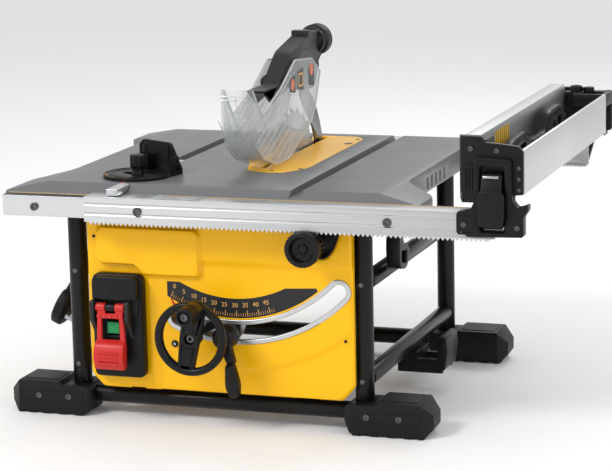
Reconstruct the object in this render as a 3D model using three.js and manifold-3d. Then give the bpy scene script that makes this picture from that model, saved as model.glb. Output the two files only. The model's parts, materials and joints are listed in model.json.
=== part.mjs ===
// A portable jobsite table saw on a tube stand, with its rack-and-pinion rails run part way out.
// Saw coordinates, in mm: X to the right from the middle of the table, Y to the back from the front
// faces of the front feet, Z up from the floor. The whole group is then moved so that the
// middle of its bounding box, at floor level, is the origin.
import * as THREE from 'three';
import { mergeVertices } from 'three/addons/utils/BufferGeometryUtils.js';
import Module from 'manifold-3d';

const wasm = await Module();
wasm.setup();

// ---- Driving dimensions ----
const GAP = 0.3;                 // clearance between touching pieces
const TABLE_TOP = 330;
const TABLE_PLATE = 7;
const TABLE_SKIRT = 296;         // lowest edge of the table's skirt
const TABLE_FRONT = 9;
const TABLE_BACK = 489;
const TABLE_TOE = 21;            // how far the sloped front and back edges run out
const TABLE_HALF = 246;          // half width between the corner wings
const WING_HALF = 298;           // half width over the corner wings
const SLOT_X = 124;              // mitre slots, either side of the blade
const SLOT_HALF = 8.5;
const SLOT_DEPTH = 9;

const TUBE_R = 13;
const TUBE_WALL = 1.6;
const CROSS_R = 12;
const LEG_X = 207;
const FRONT_LEG_Y = 30;
const REAR_LEG_Y = 450;
const FOOT_DEPTH = 60;
const FOOT_INNER = 184;          // the feet's inner ends, either side
const FOOT_LENGTH = 123;
const CROSS_Z = 27;
const SIDE_TUBES_Z = { lower: 70, upper: 203 };

const RAIL_LOW = 286;            // sliding rails, lowest face without the rack
const RAIL_HIGH = 320;
const RAIL_WALL = 3.5;
const FRONT_RAIL_FACE = -46;
const REAR_RAIL_FACE = 544;
const RAIL_REACH = 34;           // depth of the sliding rail's C section
const SLIDING_LEFT = -162;
const SLIDING_RIGHT = 406;
const FIXED_HALF = 286;
const MODULE = 2;                // rack and pinions
const TEETH = 20;
const PINION_X = 151;
const RACK_PITCH_Z = 283.4;
const PINION_Z = RACK_PITCH_Z - MODULE * TEETH / 2;

const PANEL_FACE = 4;            // the front panel's outer face
const PANEL_BACK = 8;
const PANEL_LEFT = -182;
const SWITCH_X = -138.5;         // middle of the stop paddle
const PANEL_RIGHT = 200;
const SHELL_BACK_RIGHT = 56;     // the housing is open on the right and at the rear right
const ARC_X = 31;                // centre of the tilt slot's curve
const ARC_Z = 342;
const ARC_R = 210;               // the tilt slot's middle radius
const ARC_HALF = 10.3;
const ARC_RIM = 17;              // half width over the slot's metal rim
const ARC_FROM = -22.5;
const ARC_TO = 45.5;
const WHEEL_X = -11.2;           // handwheel axis
const WHEEL_Z = 133.5;
const WHEEL_R = 51;
const CRANK_X = -2;              // the wheel's crank handle
const CRANK_Z = 173;
const LEVER_X = 25;              // bevel lock lever axis
const LEVER_Z = 129.5;

const BLADE_X = 16;              // the blade's plane
const BLADE_R = 105;
const BLADE_Y = 305;
const BLADE_Z = 290;
const BLADE_THICK = 2.2;
const KNIFE_OUTER = 145;
const SHIELD_HALF = 22;
const LINK_PIN = [378, 450];     // [Y, Z] where the shield's link turns on the guard arm
const SHIELD_PIN = [350, 450];   // and where the shield turns on the link

const FENCE_LEFT = 352;
const BEAM_WIDTH = 21;
const FENCE_RIGHT = 440;         // outer face of the narrow fence plate
const BRACKET_RIGHT = 453;       // tip of the front bracket's hook
const FENCE_BASE = 332;          // just above the table
const FENCE_TOP = 410;

const CORD_R = 4;                // mains lead
const COIL_R = 48.5;             // middle of the stowed coil's turns
const COIL_Y = 300;
const PEG_Z = SIDE_TUBES_Z.upper;
const PEG_R = 14;
const COIL_Z = PEG_Z + PEG_R + 0.4 - (COIL_R - 2 * CORD_R);
const BOX_X = [-FOOT_INNER - FOOT_LENGTH, BRACKET_RIGHT];
const BOX_Y = [-98, 556];

// ---- Solids ----
function solid(geometry) {
  const bare = geometry.clone();
  bare.deleteAttribute('normal');
  bare.deleteAttribute('uv');
  const merged = mergeVertices(bare, 1e-4);
  const xyz = merged.getAttribute('position').array;
  const corners = merged.index.array;
  const triangles = [];
  let volume = 0;
  for (let i = 0; i < corners.length; i += 3) {
    const [a, b, c] = [corners[i], corners[i + 1], corners[i + 2]];
    if (a === b || b === c || c === a) continue;
    triangles.push(a, b, c);
    const [p, q, r] = [a, b, c].map((k) => new THREE.Vector3().fromArray(xyz, 3 * k));
    volume += p.dot(q.cross(r));
  }
  if (volume < 0) triangles.reverse();
  return new wasm.Manifold(new wasm.Mesh({
    numProp: 3,
    vertProperties: new Float32Array(xyz),
    triVerts: new Uint32Array(triangles),
  }));
}

function union(...parts) {
  return parts.reduce((whole, part) => whole.add(part));
}

function box(x0, x1, y0, y1, z0, z1) {
  const block = new THREE.BoxGeometry(x1 - x0, y1 - y0, z1 - z0);
  block.translate((x0 + x1) / 2, (y0 + y1) / 2, (z0 + z1) / 2);
  return solid(block);
}

// A closed outline from corners [u, v] or [u, v, radius], rounded where a radius is given.
function outline(corners, Kind = THREE.Shape) {
  const shape = new Kind();
  corners.forEach(([u, v, radius = 0], i) => {
    const here = new THREE.Vector2(u, v);
    const before = new THREE.Vector2(...corners.at(i - 1).slice(0, 2));
    const after = new THREE.Vector2(...corners[(i + 1) % corners.length].slice(0, 2));
    const reach = Math.min(radius, 0.45 * here.distanceTo(before), 0.45 * here.distanceTo(after));
    const start = here.clone().add(before.sub(here).setLength(reach));
    const end = here.clone().add(after.sub(here).setLength(reach));
    if (i === 0) shape.moveTo(start.x, start.y);
    else shape.lineTo(start.x, start.y);
    if (reach > 0) shape.quadraticCurveTo(here.x, here.y, end.x, end.y);
  });
  shape.closePath();
  return shape;
}

// Extrudes an outline along one axis: its u and v run along the other two, in X, Y, Z order.
function extrude(axis, corners, from, to, curveSegments = 3) {
  const shape = corners instanceof THREE.Shape ? corners : outline(corners);
  const block = new THREE.ExtrudeGeometry(shape, { depth: to - from, bevelEnabled: false, curveSegments });
  block.translate(0, 0, from);
  const along = { x: [0, 1, 0, 0, 0, 1, 1, 0, 0], y: [1, 0, 0, 0, 0, 1, 0, 1, 0], z: [1, 0, 0, 0, 1, 0, 0, 0, 1] };
  const [u, v, w] = [0, 3, 6].map((k) => new THREE.Vector3(...along[axis].slice(k, k + 3)));
  block.applyMatrix4(new THREE.Matrix4().makeBasis(u, v, w));
  return solid(block);
}

// A round bar along one axis, starting at a point; top may differ from radius for a cone.
function rod(axis, [x, y, z], length, radius, sides = 20, top = radius) {
  const bar = new THREE.CylinderGeometry(top, radius, length, sides);
  bar.translate(0, length / 2, 0);
  if (axis === 'x') bar.rotateZ(-Math.PI / 2);
  if (axis === 'z') bar.rotateX(Math.PI / 2);
  bar.translate(x, y, z);
  return solid(bar);
}

// A solid of revolution: profile points are [radius, height], turned about the given axis.
function turned(axis, [x, y, z], profile, sides = 28) {
  const body = new THREE.LatheGeometry(profile.map(([r, h]) => new THREE.Vector2(r, h)), sides);
  if (axis === 'x') body.rotateZ(-Math.PI / 2);
  if (axis === 'z') body.rotateX(Math.PI / 2);
  body.translate(x, y, z);
  return solid(body);
}

function rotated(part, pivot, axis, degrees) {
  const turn = { x: [degrees, 0, 0], y: [0, degrees, 0], z: [0, 0, degrees] }[axis];
  const [px, py, pz] = pivot;
  return part.translate([-px, -py, -pz]).rotate(turn).translate([px, py, pz]);
}

// Mirrors a right-hand piece to the left of the blade's plane.
const mirrored = (part) => part.mirror([1, 0, 0]);

// A point at an angle from straight down and a radius about the slot's centre, seen from the front.
function polar(degrees, radius) {
  const angle = THREE.MathUtils.degToRad(degrees);
  return [ARC_X + Math.sin(angle) * radius, ARC_Z - Math.cos(angle) * radius];
}

// A curved band about the slot's centre with round ends.
function arcBand(halfWidth, from = ARC_FROM, to = ARC_TO, steps = 14) {
  const points = [];
  const cap = (degrees, side) => {
    const [cx, cz] = polar(degrees, ARC_R);
    const facing = THREE.MathUtils.degToRad(degrees);
    for (let k = 1; k < 5; k += 1) {
      const turn = side * (-Math.PI / 2 + (Math.PI * k) / 5);
      const [out, along] = [halfWidth * Math.sin(turn), halfWidth * side * Math.cos(turn)];
      points.push([
        cx + out * Math.sin(facing) + along * Math.cos(facing),
        cz - out * Math.cos(facing) + along * Math.sin(facing),
      ]);
    }
  };
  for (let k = 0; k <= steps; k += 1) points.push(polar(from + ((to - from) * k) / steps, ARC_R - halfWidth));
  cap(to, 1);
  for (let k = steps; k >= 0; k -= 1) points.push(polar(from + ((to - from) * k) / steps, ARC_R + halfWidth));
  cap(from, -1);
  return points;
}

// ---- Materials ----
const paint = (color, roughness, metalness = 0) => new THREE.MeshStandardMaterial({ color, roughness, metalness });
const yellow = paint(0xf6b90c, 0.42);
const black = paint(0x1c1d1e, 0.55);
const tube = paint(0x161718, 0.4, 0.2);
const castGrey = paint(0x8d8f91, 0.45, 0.5);
const aluminium = paint(0xd4d6d8, 0.3, 0.9);
const steel = paint(0x9a9da0, 0.3, 0.95);
const darkGrey = paint(0x3b3d40, 0.6);
const red = paint(0xc8242b, 0.45);
const green = paint(0x0e9a4b, 0.4);
const clear = new THREE.MeshStandardMaterial({ color: 0xe6eaec, roughness: 0.1, transparent: true, opacity: 0.4 });
const rubber = paint(0x141414, 0.8);

const saw = new THREE.Group();
saw.position.set(-(BOX_X[0] + BOX_X[1]) / 2, -(BOX_Y[0] + BOX_Y[1]) / 2, 0);

function add(name, part, material) {
  const { numProp, vertProperties, triVerts } = part.getMesh();
  const points = new Float32Array((vertProperties.length / numProp) * 3);
  for (let i = 0; i * 3 < points.length; i += 1) {
    for (let k = 0; k < 3; k += 1) points[3 * i + k] = vertProperties[numProp * i + k];
  }
  const geometry = new THREE.BufferGeometry();
  geometry.setAttribute('position', new THREE.BufferAttribute(points, 3));
  geometry.setIndex([...triVerts]);
  geometry.computeVertexNormals();
  const mesh = new THREE.Mesh(geometry, material);
  mesh.name = name;
  saw.add(mesh);
}

// ---- Stand ----
function pipe(axis, start, length, radius) {
  const inner = rod(axis, start.map((v, i) => ('xyz'[i] === axis ? v - 1 : v)), length + 2, radius - TUBE_WALL, 16);
  return rod(axis, start, length, radius, 16).subtract(inner);
}

// Two hub flanges on a moulded collar, for winding the mains lead on.
function cordWrap() {
  const outer = -LEG_X - CROSS_R + 1;
  return union(
    box(outer - 8, outer, COIL_Y - 16, COIL_Y + 16, PEG_Z - 13, PEG_Z + 13),
    rod('x', [outer - 45, COIL_Y, PEG_Z], 40, PEG_R, 16),
    rod('x', [outer - 49, COIL_Y, PEG_Z], 5, PEG_R + 5, 16),
  );
}

function addStand() {
  const top = TABLE_TOP - TABLE_PLATE - GAP;
  const legs = { front: FRONT_LEG_Y, rear: REAR_LEG_Y };
  for (const [end, y] of Object.entries(legs)) {
    for (const [side, x] of [['left', -LEG_X], ['right', LEG_X]]) {
      add(`${end}_${side}_leg`, pipe('z', [x, y, 12], top - 12, TUBE_R), tube);
    }
    const reach = LEG_X - TUBE_R - GAP;
    add(`${end}_lower_tube`, pipe('x', [-reach, y, CROSS_Z], 2 * reach, CROSS_R), tube);
  }
  const from = FRONT_LEG_Y + TUBE_R + GAP;
  const length = REAR_LEG_Y - FRONT_LEG_Y - 2 * (TUBE_R + GAP);
  for (const [level, z] of Object.entries(SIDE_TUBES_Z)) {
    const left = pipe('y', [-LEG_X, from, z], length, CROSS_R);
    add(`left_${level}_side_tube`, level === 'upper' ? left.add(cordWrap()) : left, tube);
    add(`right_${level}_side_tube`, pipe('y', [LEG_X, from, z], length, CROSS_R), tube);
  }
}

// A moulded foot around a leg's lower end, with chamfered ends, a raised pad and a scalloped sole.
function foot(y) {
  const inner = FOOT_INNER;
  const outer = FOOT_INNER + FOOT_LENGTH;
  const sole = new THREE.Shape();
  sole.moveTo(inner, 24);
  sole.lineTo(inner + 9, 2);
  for (const [from, to] of [[13, 24], [38, 48], [62, 72], [85, 95], [105, 112]]) {
    sole.quadraticCurveTo(inner + from - 4, 7, inner + from, 0);
    sole.lineTo(inner + to, 0);
  }
  sole.lineTo(outer, 14);
  sole.lineTo(outer, 31);
  sole.lineTo(outer - 16, 47);
  sole.lineTo(inner + 48, 47);
  sole.lineTo(inner + 41, 42);
  sole.lineTo(inner + 6, 42);
  sole.lineTo(inner, 36);
  sole.closePath();
  const plan = [
    [inner, y, 8], [outer - 14, y], [outer, y + 12], [outer, y + FOOT_DEPTH - 12],
    [outer - 14, y + FOOT_DEPTH], [inner, y + FOOT_DEPTH, 8],
  ];
  const legY = y + FOOT_DEPTH / 2;
  return extrude('y', sole, y, y + FOOT_DEPTH)
    .intersect(extrude('z', plan, -1, 70))
    .subtract(rod('z', [LEG_X, legY, 11.5], 60, TUBE_R + GAP, 16))
    .subtract(rod('x', [inner - 1, legY, CROSS_Z], LEG_X - inner, CROSS_R + GAP, 16));
}

function addFeet() {
  for (const [end, y] of [['front', 0], ['rear', REAR_LEG_Y - FOOT_DEPTH / 2]]) {
    add(`${end}_right_foot`, foot(y), rubber);
    add(`${end}_left_foot`, mirrored(foot(y)), rubber);
  }
}

// ---- Table ----
// The throat plate's plan; grow widens it all round for the opening it sits in.
function throatPlan(grow) {
  return [
    [-12 - grow, 200, 30], [2, 146 - grow, 20], [34, 133 - grow, 20], [60, 134 - grow, 20], [82 + grow, 178, 16],
    [82 + grow, 446, 10], [66 + grow, 467 + grow, 6], [8, 467 + grow, 6], [-12 - grow, 440, 8],
  ];
}

function addTable() {
  const front = TABLE_FRONT - TABLE_TOE;
  const back = TABLE_BACK + TABLE_TOE - 7;
  const side = [[front, 14], [62, 16], [112, 16], [404, 16], [446, 16], [back, 14]];
  const reach = [WING_HALF, WING_HALF, TABLE_HALF, TABLE_HALF, WING_HALF, WING_HALF];
  const right = side.map(([y, r], i) => [reach[i], y, r]);
  const left = side.map(([y, r], i) => [-reach[i], y, r]).reverse();
  const plan = extrude('z', [...right, ...left], TABLE_SKIRT, TABLE_TOP);
  const slope = extrude('x', [
    [front, TABLE_SKIRT], [front, TABLE_TOP - 13], [TABLE_FRONT, TABLE_TOP, 2], [TABLE_BACK, TABLE_TOP, 2],
    [back, TABLE_TOP - 10], [back, TABLE_SKIRT],
  ], -WING_HALF - 1, WING_HALF + 1);
  const drop = extrude('y', [
    [-WING_HALF, TABLE_SKIRT], [WING_HALF, TABLE_SKIRT], [WING_HALF, TABLE_TOP - 12, 8],
    [TABLE_HALF - 10, TABLE_TOP], [10 - TABLE_HALF, TABLE_TOP], [-WING_HALF, TABLE_TOP - 12, 8],
  ], front - 1, back + 1);
  const under = TABLE_TOP - TABLE_PLATE;
  const pocket = box(-239, 239, front + 14, back - 10, TABLE_SKIRT - 1, under);
  let table = plan.intersect(slope).intersect(drop).subtract(pocket);
  for (const x of [-SLOT_X, SLOT_X]) {
    table = table.add(box(x - 13, x + 13, front + 12, back - 8, TABLE_TOP - 15, under + 1));
    table = table.subtract(box(x - SLOT_HALF, x + SLOT_HALF, front - 1, back + 1, TABLE_TOP - SLOT_DEPTH, 340));
  }
  for (const x of [-LEG_X, LEG_X]) {
    for (const y of [FRONT_LEG_Y, REAR_LEG_Y]) {
      table = table.subtract(rod('z', [x, y, TABLE_SKIRT - 1], 27, TUBE_R + 1, 16));
    }
  }
  table = table.subtract(extrude('z', throatPlan(0.6), TABLE_TOP - 3 - GAP, 340));
  table = table.subtract(extrude('z', throatPlan(-5), TABLE_SKIRT, 340));
  for (let k = 0; k < 5; k += 1) {
    table = table.subtract(box(TABLE_HALF - 2, TABLE_HALF + 2, 210 + 22 * k, 219 + 22 * k, 300, 316));
  }
  add('table', table, castGrey);

  // The slot's right edge is undercut for the tilted blade.
  const bladeSlot = extrude('y', [
    [BLADE_X - 4, 320], [BLADE_X + 12, 320], [BLADE_X + 9.6, TABLE_TOP - 3], [BLADE_X + 6, TABLE_TOP],
    [BLADE_X + 6, 340], [BLADE_X - 4, 340],
  ], 170, 461);
  add('throat_plate', extrude('z', throatPlan(0), TABLE_TOP - 3, TABLE_TOP).subtract(bladeSlot), yellow);
}

// ---- Rails ----
// A rail's cross-section corners are given as [distance in from its face, z].
function railSection(face, inward, corners) {
  return corners.map(([depth, z]) => [face + inward * depth, z]);
}

function rack(face, inward) {
  const pitch = Math.PI * MODULE;
  const first = SLIDING_LEFT + 6;
  const count = Math.floor((SLIDING_RIGHT - first - 4) / pitch);
  const points = [[first - 4, RAIL_LOW + 1]];
  for (let k = 0; k < count; k += 1) {
    const x = first + pitch * k;
    points.push([x, RAIL_LOW - 0.2], [x + pitch / 2, RACK_PITCH_Z - 1.8]);
  }
  points.push([SLIDING_RIGHT - 4, RAIL_LOW - 0.2], [SLIDING_RIGHT - 4, RAIL_LOW + 1]);
  const [near, far] = [face + inward * 1, face + inward * 7];
  return extrude('y', points, Math.min(near, far), Math.max(near, far));
}

function slidingRail(face, inward) {
  const lip = 2.4;
  const section = railSection(face, inward, [
    [0, RAIL_LOW], [0, 295], [1, 296], [1, 298], [0, 299], [0, 308], [1, 309], [1, 311], [0, 312], [0, RAIL_HIGH],
    [RAIL_REACH, RAIL_HIGH], [RAIL_REACH, RAIL_HIGH - lip], [RAIL_WALL, RAIL_HIGH - lip],
    [RAIL_WALL, RAIL_LOW + lip], [RAIL_REACH - 10, RAIL_LOW + lip], [RAIL_REACH - 10, RAIL_LOW],
  ]);
  return extrude('x', section, SLIDING_LEFT, SLIDING_RIGHT).add(rack(face, inward));
}

function fixedRail(face, inward) {
  const [low, high] = [RAIL_LOW + 2.9, RAIL_HIGH - 2.9];
  const section = railSection(face + inward * 8, inward, [
    [0, low], [0, high], [24, high], [24, 307], [20, 307], [20, 298], [24, 298], [24, low],
  ]);
  const bore = railSection(face + inward * 8, inward, [[4, 294], [4, 311], [16, 311], [16, 294]]);
  return extrude('x', section, -FIXED_HALF, FIXED_HALF)
    .subtract(extrude('x', bore, -FIXED_HALF - 1, FIXED_HALF + 1));
}

function addRails() {
  add('front_fixed_rail', fixedRail(FRONT_RAIL_FACE, 1), aluminium);
  add('rear_fixed_rail', fixedRail(REAR_RAIL_FACE, -1), aluminium);
  add('front_sliding_rail', slidingRail(FRONT_RAIL_FACE, 1), aluminium);
  add('rear_sliding_rail', slidingRail(REAR_RAIL_FACE, -1), aluminium);
  const lens = extrude('z', [[-66, -44, 4], [2, -44, 4], [2, -15, 3], [-18, -15, 3], [-18, -24, 2],
    [-48, -24, 2], [-48, -15, 3], [-66, -15, 3]], RAIL_HIGH + 0.2, RAIL_HIGH + 1);
  add('rip_scale_indicator', lens, clear);
}

// A spur gear about a Y axis, its teeth phased to mesh with the racks at rest.
function gearOutline(x, z) {
  const pitchRadius = (MODULE * TEETH) / 2;
  const tip = pitchRadius + 1;
  const root = pitchRadius - 2.6;
  const gapCentre = SLIDING_LEFT + 6;
  const offset = ((gapCentre - x) / pitchRadius) % ((2 * Math.PI) / TEETH);
  const points = [];
  for (let k = 0; k < TEETH; k += 1) {
    const middle = Math.PI / 2 - offset - (2 * Math.PI * k) / TEETH;
    for (const [r, turn] of [[root, 0.085], [tip, 0.03], [tip, -0.03], [root, -0.085]]) {
      points.push([x + r * Math.cos(middle + turn), z + r * Math.sin(middle + turn)]);
    }
  }
  return points;
}

function addPinions() {
  const [frontGear, rearGear] = [FRONT_RAIL_FACE + 0.6, REAR_RAIL_FACE - 12];
  const knob = turned('y', [PINION_X, FRONT_RAIL_FACE - 17, PINION_Z], [
    [0, 10], [15, 9], [17, 0], [22.5, 0], [24, 2], [24, 14], [22, 16.4], [0, 16.4],
  ]);
  const frontPinion = extrude('y', gearOutline(PINION_X, PINION_Z), frontGear - 2, frontGear + 20);
  add('fine_adjust_knob', knob.add(frontPinion), black);
  const shaft = rod('y', [PINION_X, frontGear + 20 + GAP, PINION_Z], rearGear - frontGear - 12, 5, 14);
  const rearPinion = extrude('y', gearOutline(PINION_X, PINION_Z), rearGear, rearGear + 11);
  add('pinion_shaft', shaft.add(rearPinion), steel);

  const paddle = extrude('x', [
    [84, 272, 4], [96, 272, 4], [104, 246, 3], [126, 240, 6], [134, 226, 4], [118, 206, 8], [84, 212, 10],
    [80, 240, 4],
  ], 223, 243);
  const recess = extrude('x', [[92, 236, 3], [118, 232, 3], [114, 216, 4], [92, 220, 4]], 229, 244);
  add('rail_lock_lever', paddle.subtract(recess), black);
}

// ---- Rip fence, carried by the sliding rails ----
function addFence() {
  const [beamFrom, beamTo] = [-8, 522];
  const beamRight = FENCE_LEFT + BEAM_WIDTH;
  const beam = box(FENCE_LEFT, beamRight, beamFrom, beamTo, FENCE_BASE + 1, FENCE_TOP)
    .subtract(box(FENCE_LEFT + 2.5, beamRight - 2.5, beamFrom - 1, beamTo + 1, FENCE_BASE + 3.5, FENCE_TOP - 2.5));
  add('fence_beam', beam, aluminium);
  add('narrow_fence_plate', extrude('y', [
    [FENCE_RIGHT - 5, 341, 1], [FENCE_RIGHT, 341, 1], [FENCE_RIGHT, 399, 1.5], [FENCE_RIGHT - 5, 399, 1.5],
  ], -27, 500, 2), aluminium);

  const plate = extrude('y', [
    [364, 419, 2], [392, 419, 2], [394, 412, 2], [438, 408, 3], [445, 401, 3], [445, 346, 2], [434, 345], [432, 328],
    [384, 328], [380, 345], [364, 346, 2],
  ], -53, FRONT_RAIL_FACE - GAP);
  const body = extrude('y', [
    [360, 323, 4], [378, 326, 4], [383, 336, 3], [383, 394, 6], [432, 392, 6], [433, 338, 4], [440, 330, 3],
    [BRACKET_RIGHT, 335, 2], [BRACKET_RIGHT, 327, 2], [447, 318, 3], [447, 293, 3], [374, 291, 3], [367, 298, 2],
    [360, 295, 3],
  ], -62, FRONT_RAIL_FACE - GAP);
  const shelf = extrude('z', [
    [364, FRONT_RAIL_FACE - 2], [FENCE_LEFT, -12], [FENCE_LEFT, beamFrom - GAP], [396, beamFrom - GAP],
    [396, FRONT_RAIL_FACE - 2],
  ], FENCE_BASE + 1, 414);
  const link = box(392, FENCE_RIGHT - 6, FRONT_RAIL_FACE - 2, -14, 345, 396);
  const window = extrude('y', [[390.5, 384, 5], [423, 383, 5], [424.5, 297, 5], [389.5, 297, 5]], -70, -51);
  const hollow = box(372, 390, -40, -12, FENCE_BASE, 406);
  const front = union(plate, body, shelf, link).subtract(window).subtract(hollow);
  add('fence_front_bracket', front, black);
  const grip = extrude('x', [
    [-54, 374], [-53.5, 367], [-56, 330], [-53, 306], [-60, 301, 3], [-70, 308, 5], [-73, 346, 6], [-64, 374, 4],
  ], 393, 420.5);
  const pinHole = box(399, 415, -80, -40, 357, 364);
  add('front_fence_latch', grip.subtract(pinHole), black);

  const left = FENCE_LEFT - 4;
  const rearFace = extrude('y', [
    [left, 402, 4], [FENCE_RIGHT - 34, 402, 8], [FENCE_RIGHT - 30, 396], [FENCE_RIGHT, 399, 6],
    [FENCE_RIGHT, 340, 3], [FENCE_RIGHT - 24, 332, 3], [FENCE_RIGHT - 36, 290, 3], [left, 290, 3],
  ], REAR_RAIL_FACE + GAP, REAR_RAIL_FACE + 10);
  const rearBlock = box(left, FENCE_RIGHT - 6, beamTo + GAP, REAR_RAIL_FACE + 2, FENCE_BASE + 2, 398);
  const rearLoop = extrude('z', [
    [FENCE_RIGHT - 50, 501, 2], [FENCE_RIGHT, 501, 4], [FENCE_RIGHT, REAR_RAIL_FACE + 6, 4],
    [FENCE_RIGHT - 50, REAR_RAIL_FACE + 6, 2],
  ], 380, 398);
  const loopHole = box(FENCE_RIGHT - 40, FENCE_RIGHT - 8, 508, beamTo + 14, 330, 399);
  const rearWindow = extrude('y', [[374, 368, 4], [408, 368, 4], [402, 300, 4], [374, 300, 4]], 547, 560);
  add('fence_rear_bracket', union(rearFace, rearBlock, rearLoop).subtract(loopHole).subtract(rearWindow), black);
  const rearLatch = extrude('x', [
    [549, 359.5], [548.3, 354], [548, 304], [553, 302, 2], [556, 310, 2], [556, 350, 3], [552, 360, 2],
  ], 377, 399);
  add('rear_fence_latch', rearLatch, black);

  const stick = extrude('x', [
    [22, 346, 6], [26, 362, 6], [104, 390, 10], [176, 392, 10], [206, 374, 12], [290, 372, 12], [322, 398, 12],
    [392, 400, 12], [428, 380, 10], [430, 352, 8], [380, 346, 10], [300, 350, 12], [200, 346, 12],
  ], 386, 396, 4);
  const eyes = union(
    rod('x', [380, 120, 368], 20, 9, 14), rod('x', [380, 352, 374], 20, 9, 14),
    box(380, 400, 140, 176, 362, 378), box(380, 400, 372, 398, 366, 384),
  );
  add('push_stick', stick.subtract(eyes), black);
}

// ---- Front panel, switch and housing ----
function addHousing() {
  const plate = extrude('y', [
    [PANEL_LEFT, 62], [PANEL_LEFT + 18, 44], [-124, 44], [-120, 49], [-106, 49], [-102, 44], [116, 44], [120, 53],
    [144, 53], [148, 44], [PANEL_RIGHT - 18, 44], [PANEL_RIGHT, 64], [PANEL_RIGHT, 282], [PANEL_LEFT, 282],
  ], PANEL_FACE, PANEL_BACK);
  const badge = extrude('y', [
    [-166, 222, 8], [-110, 222, 6], [-98, 207, 6], [-15, 207, 8], [-15, 270, 8], [-166, 270, 8],
  ], PANEL_FACE - 8, PANEL_BACK);
  const brow = extrude('y', [[-20, 234, 4], [PANEL_RIGHT, 234], [PANEL_RIGHT, 282], [-20, 282]], PANEL_FACE - 5, PANEL_BACK);
  const sides = union(
    box(PANEL_LEFT, PANEL_LEFT + 4, PANEL_FACE, 20, 70, 280),
    box(PANEL_RIGHT - 4, PANEL_RIGHT, PANEL_FACE, 14, 70, 280),
  );
  const knobPocket = extrude('y', [
    [PINION_X - 28, 290], [PINION_X - 28, 250, 8], [PINION_X - 12, 238, 8], [PINION_X + 14, 238, 8],
    [PINION_X + 24, 252, 6], [PINION_X + 36, 290],
  ], -20, 30);
  const panel = union(plate, badge, brow, sides)
    .subtract(knobPocket)
    .subtract(extrude('y', arcBand(ARC_RIM + GAP), -20, 30))
    .subtract(box(-172, -99, 6, 9, 66, 200));
  add('front_panel', panel, yellow);

  const rim = extrude('y', arcBand(ARC_RIM), PANEL_FACE - 1.5, PANEL_BACK + 2)
    .subtract(extrude('y', arcBand(ARC_HALF), -20, 30));
  add('slot_bezel', rim, aluminium);

  const shellFrom = 20 + GAP;
  const shellTo = 485;
  const left = box(PANEL_LEFT, PANEL_LEFT + 3, shellFrom, shellTo, 62, 290);
  const back = box(PANEL_LEFT, SHELL_BACK_RIGHT, shellTo - 3, shellTo, 190, 290);
  const [glandY, glandZ] = LEAD_TO_COIL[0].slice(1);
  const gland = rod('x', [PANEL_LEFT - 4, glandY, glandZ], 5, 6, 12, 8);
  add('housing_shell', union(left, back, gland), yellow);

  const base = extrude('y', [[-170, 63, 9], [-96, 63, 9], [-96, 208, 12], [-170, 208, 12]], -12, PANEL_FACE - GAP);
  const cap = extrude('y', [[-166, 173, 3], [-100, 173, 3], [-100, 206, 9], [-166, 206, 9]], -23, -11);
  const ear = (x) => extrude('x', [[-30, 173, 4], [-30, 146], [-11, 118], [-11, 173]], x, x + 6.5);
  const lug = rod('x', [SWITCH_X - 7, -22, 163], 14, 5.5, 14)
    .add(box(SWITCH_X - 7, SWITCH_X + 7, -22, -11, 158, 168));
  const well = box(SWITCH_X - 9.5, SWITCH_X + 9.5, -13, -4, 122.5, 143.5);
  add('switch_housing', union(base, cap, ear(-167), ear(-116), lug).subtract(well), black);
  add('start_button', box(SWITCH_X - 8.5, SWITCH_X + 8.5, -16, -7, 124.5, 141.5), green);
  const barrel = (x) => rod('x', [SWITCH_X + x, -22, 163], 13.5, 6, 14);
  const leaf = extrude('y', [
    [SWITCH_X - 19, 163], [SWITCH_X + 19, 163], [SWITCH_X + 21, 112, 2], [SWITCH_X - 21, 112, 2],
  ], -26, -20)
    .subtract(box(SWITCH_X - 13.5, SWITCH_X + 13.5, -30, -10, 118, 148))
    .subtract(rod('x', [SWITCH_X - 7.4, -22, 163], 14.8, 6.5, 14));
  const pad = extrude('x', [
    [-26, 118], [-20, 114], [-22, 80, 3], [-34, 76, 5], [-41, 96, 8], [-34, 114, 4],
  ], SWITCH_X - 22, SWITCH_X + 22);
  add('stop_paddle', union(barrel(-20.9), barrel(7.4), leaf, pad), red);
}

// ---- Things clipped to the stand ----
function addStowage() {
  const x = LEG_X;
  const under = SIDE_TUBES_Z.lower - CROSS_R - GAP;
  const finger = extrude('y', [[x + 40, 28], [x + 54, 34], [x + 58, 60], [x + 56, 80, 3], [x + 46, 82, 3], [x + 42, 48]], 240, 300);
  const bracket = union(
    box(x - 14, x + 14, 240, 300, 42, under), box(x - 16, x + 50, 240, 250, 28, 48),
    box(x - 12, x + 50, 290, 300, 28, 46), finger,
  );
  add('storage_bracket', bracket, black);
}

// ---- Mains lead ----
// It leaves the housing's left wall and rises along the back of the coil, which hangs on the cord wrap.
const LEAD_TO_COIL = [
  [PANEL_LEFT - 4.3, 366, 118], [-196, 366, 118], [-206, 366, 118.6], [-216, 365.6, 121.5], [-225, 364.8, 127],
  [-233, 363.5, 135.5], [-239, 362.2, 146], [-242.5, 361.2, 158], [-244, 360.9, 168], [-244, 360.9, 176.9],
];
// The last quarter turn runs over the coil's top and forward, over the upper side tube, and hangs to the plug.
const LEAD_TO_PLUG = [
  [-235.2, 360.9, 176.9], [-235.3, 356.3, 200.2], [-235.6, 343.1, 220], [-236.2, 323.3, 233.2], [-237, 300, 237.8],
  [-237, 288, 237.4], [-236, 274, 235.5], [-233, 256, 232], [-228, 238, 228], [-221, 220, 224],
  [-214, 202, 221], [-208, 184, 219.6], [-205.5, 166, 219.4], [-207, 148, 219.6], [-212, 131, 219],
  [-218.5, 117, 215.5], [-225, 106, 208.5], [-229.8, 99, 199], [-233.6, 95.5, 189], [-237.4, 94.2, 180],
  [-240.9, 94, 172.3],
];

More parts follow.
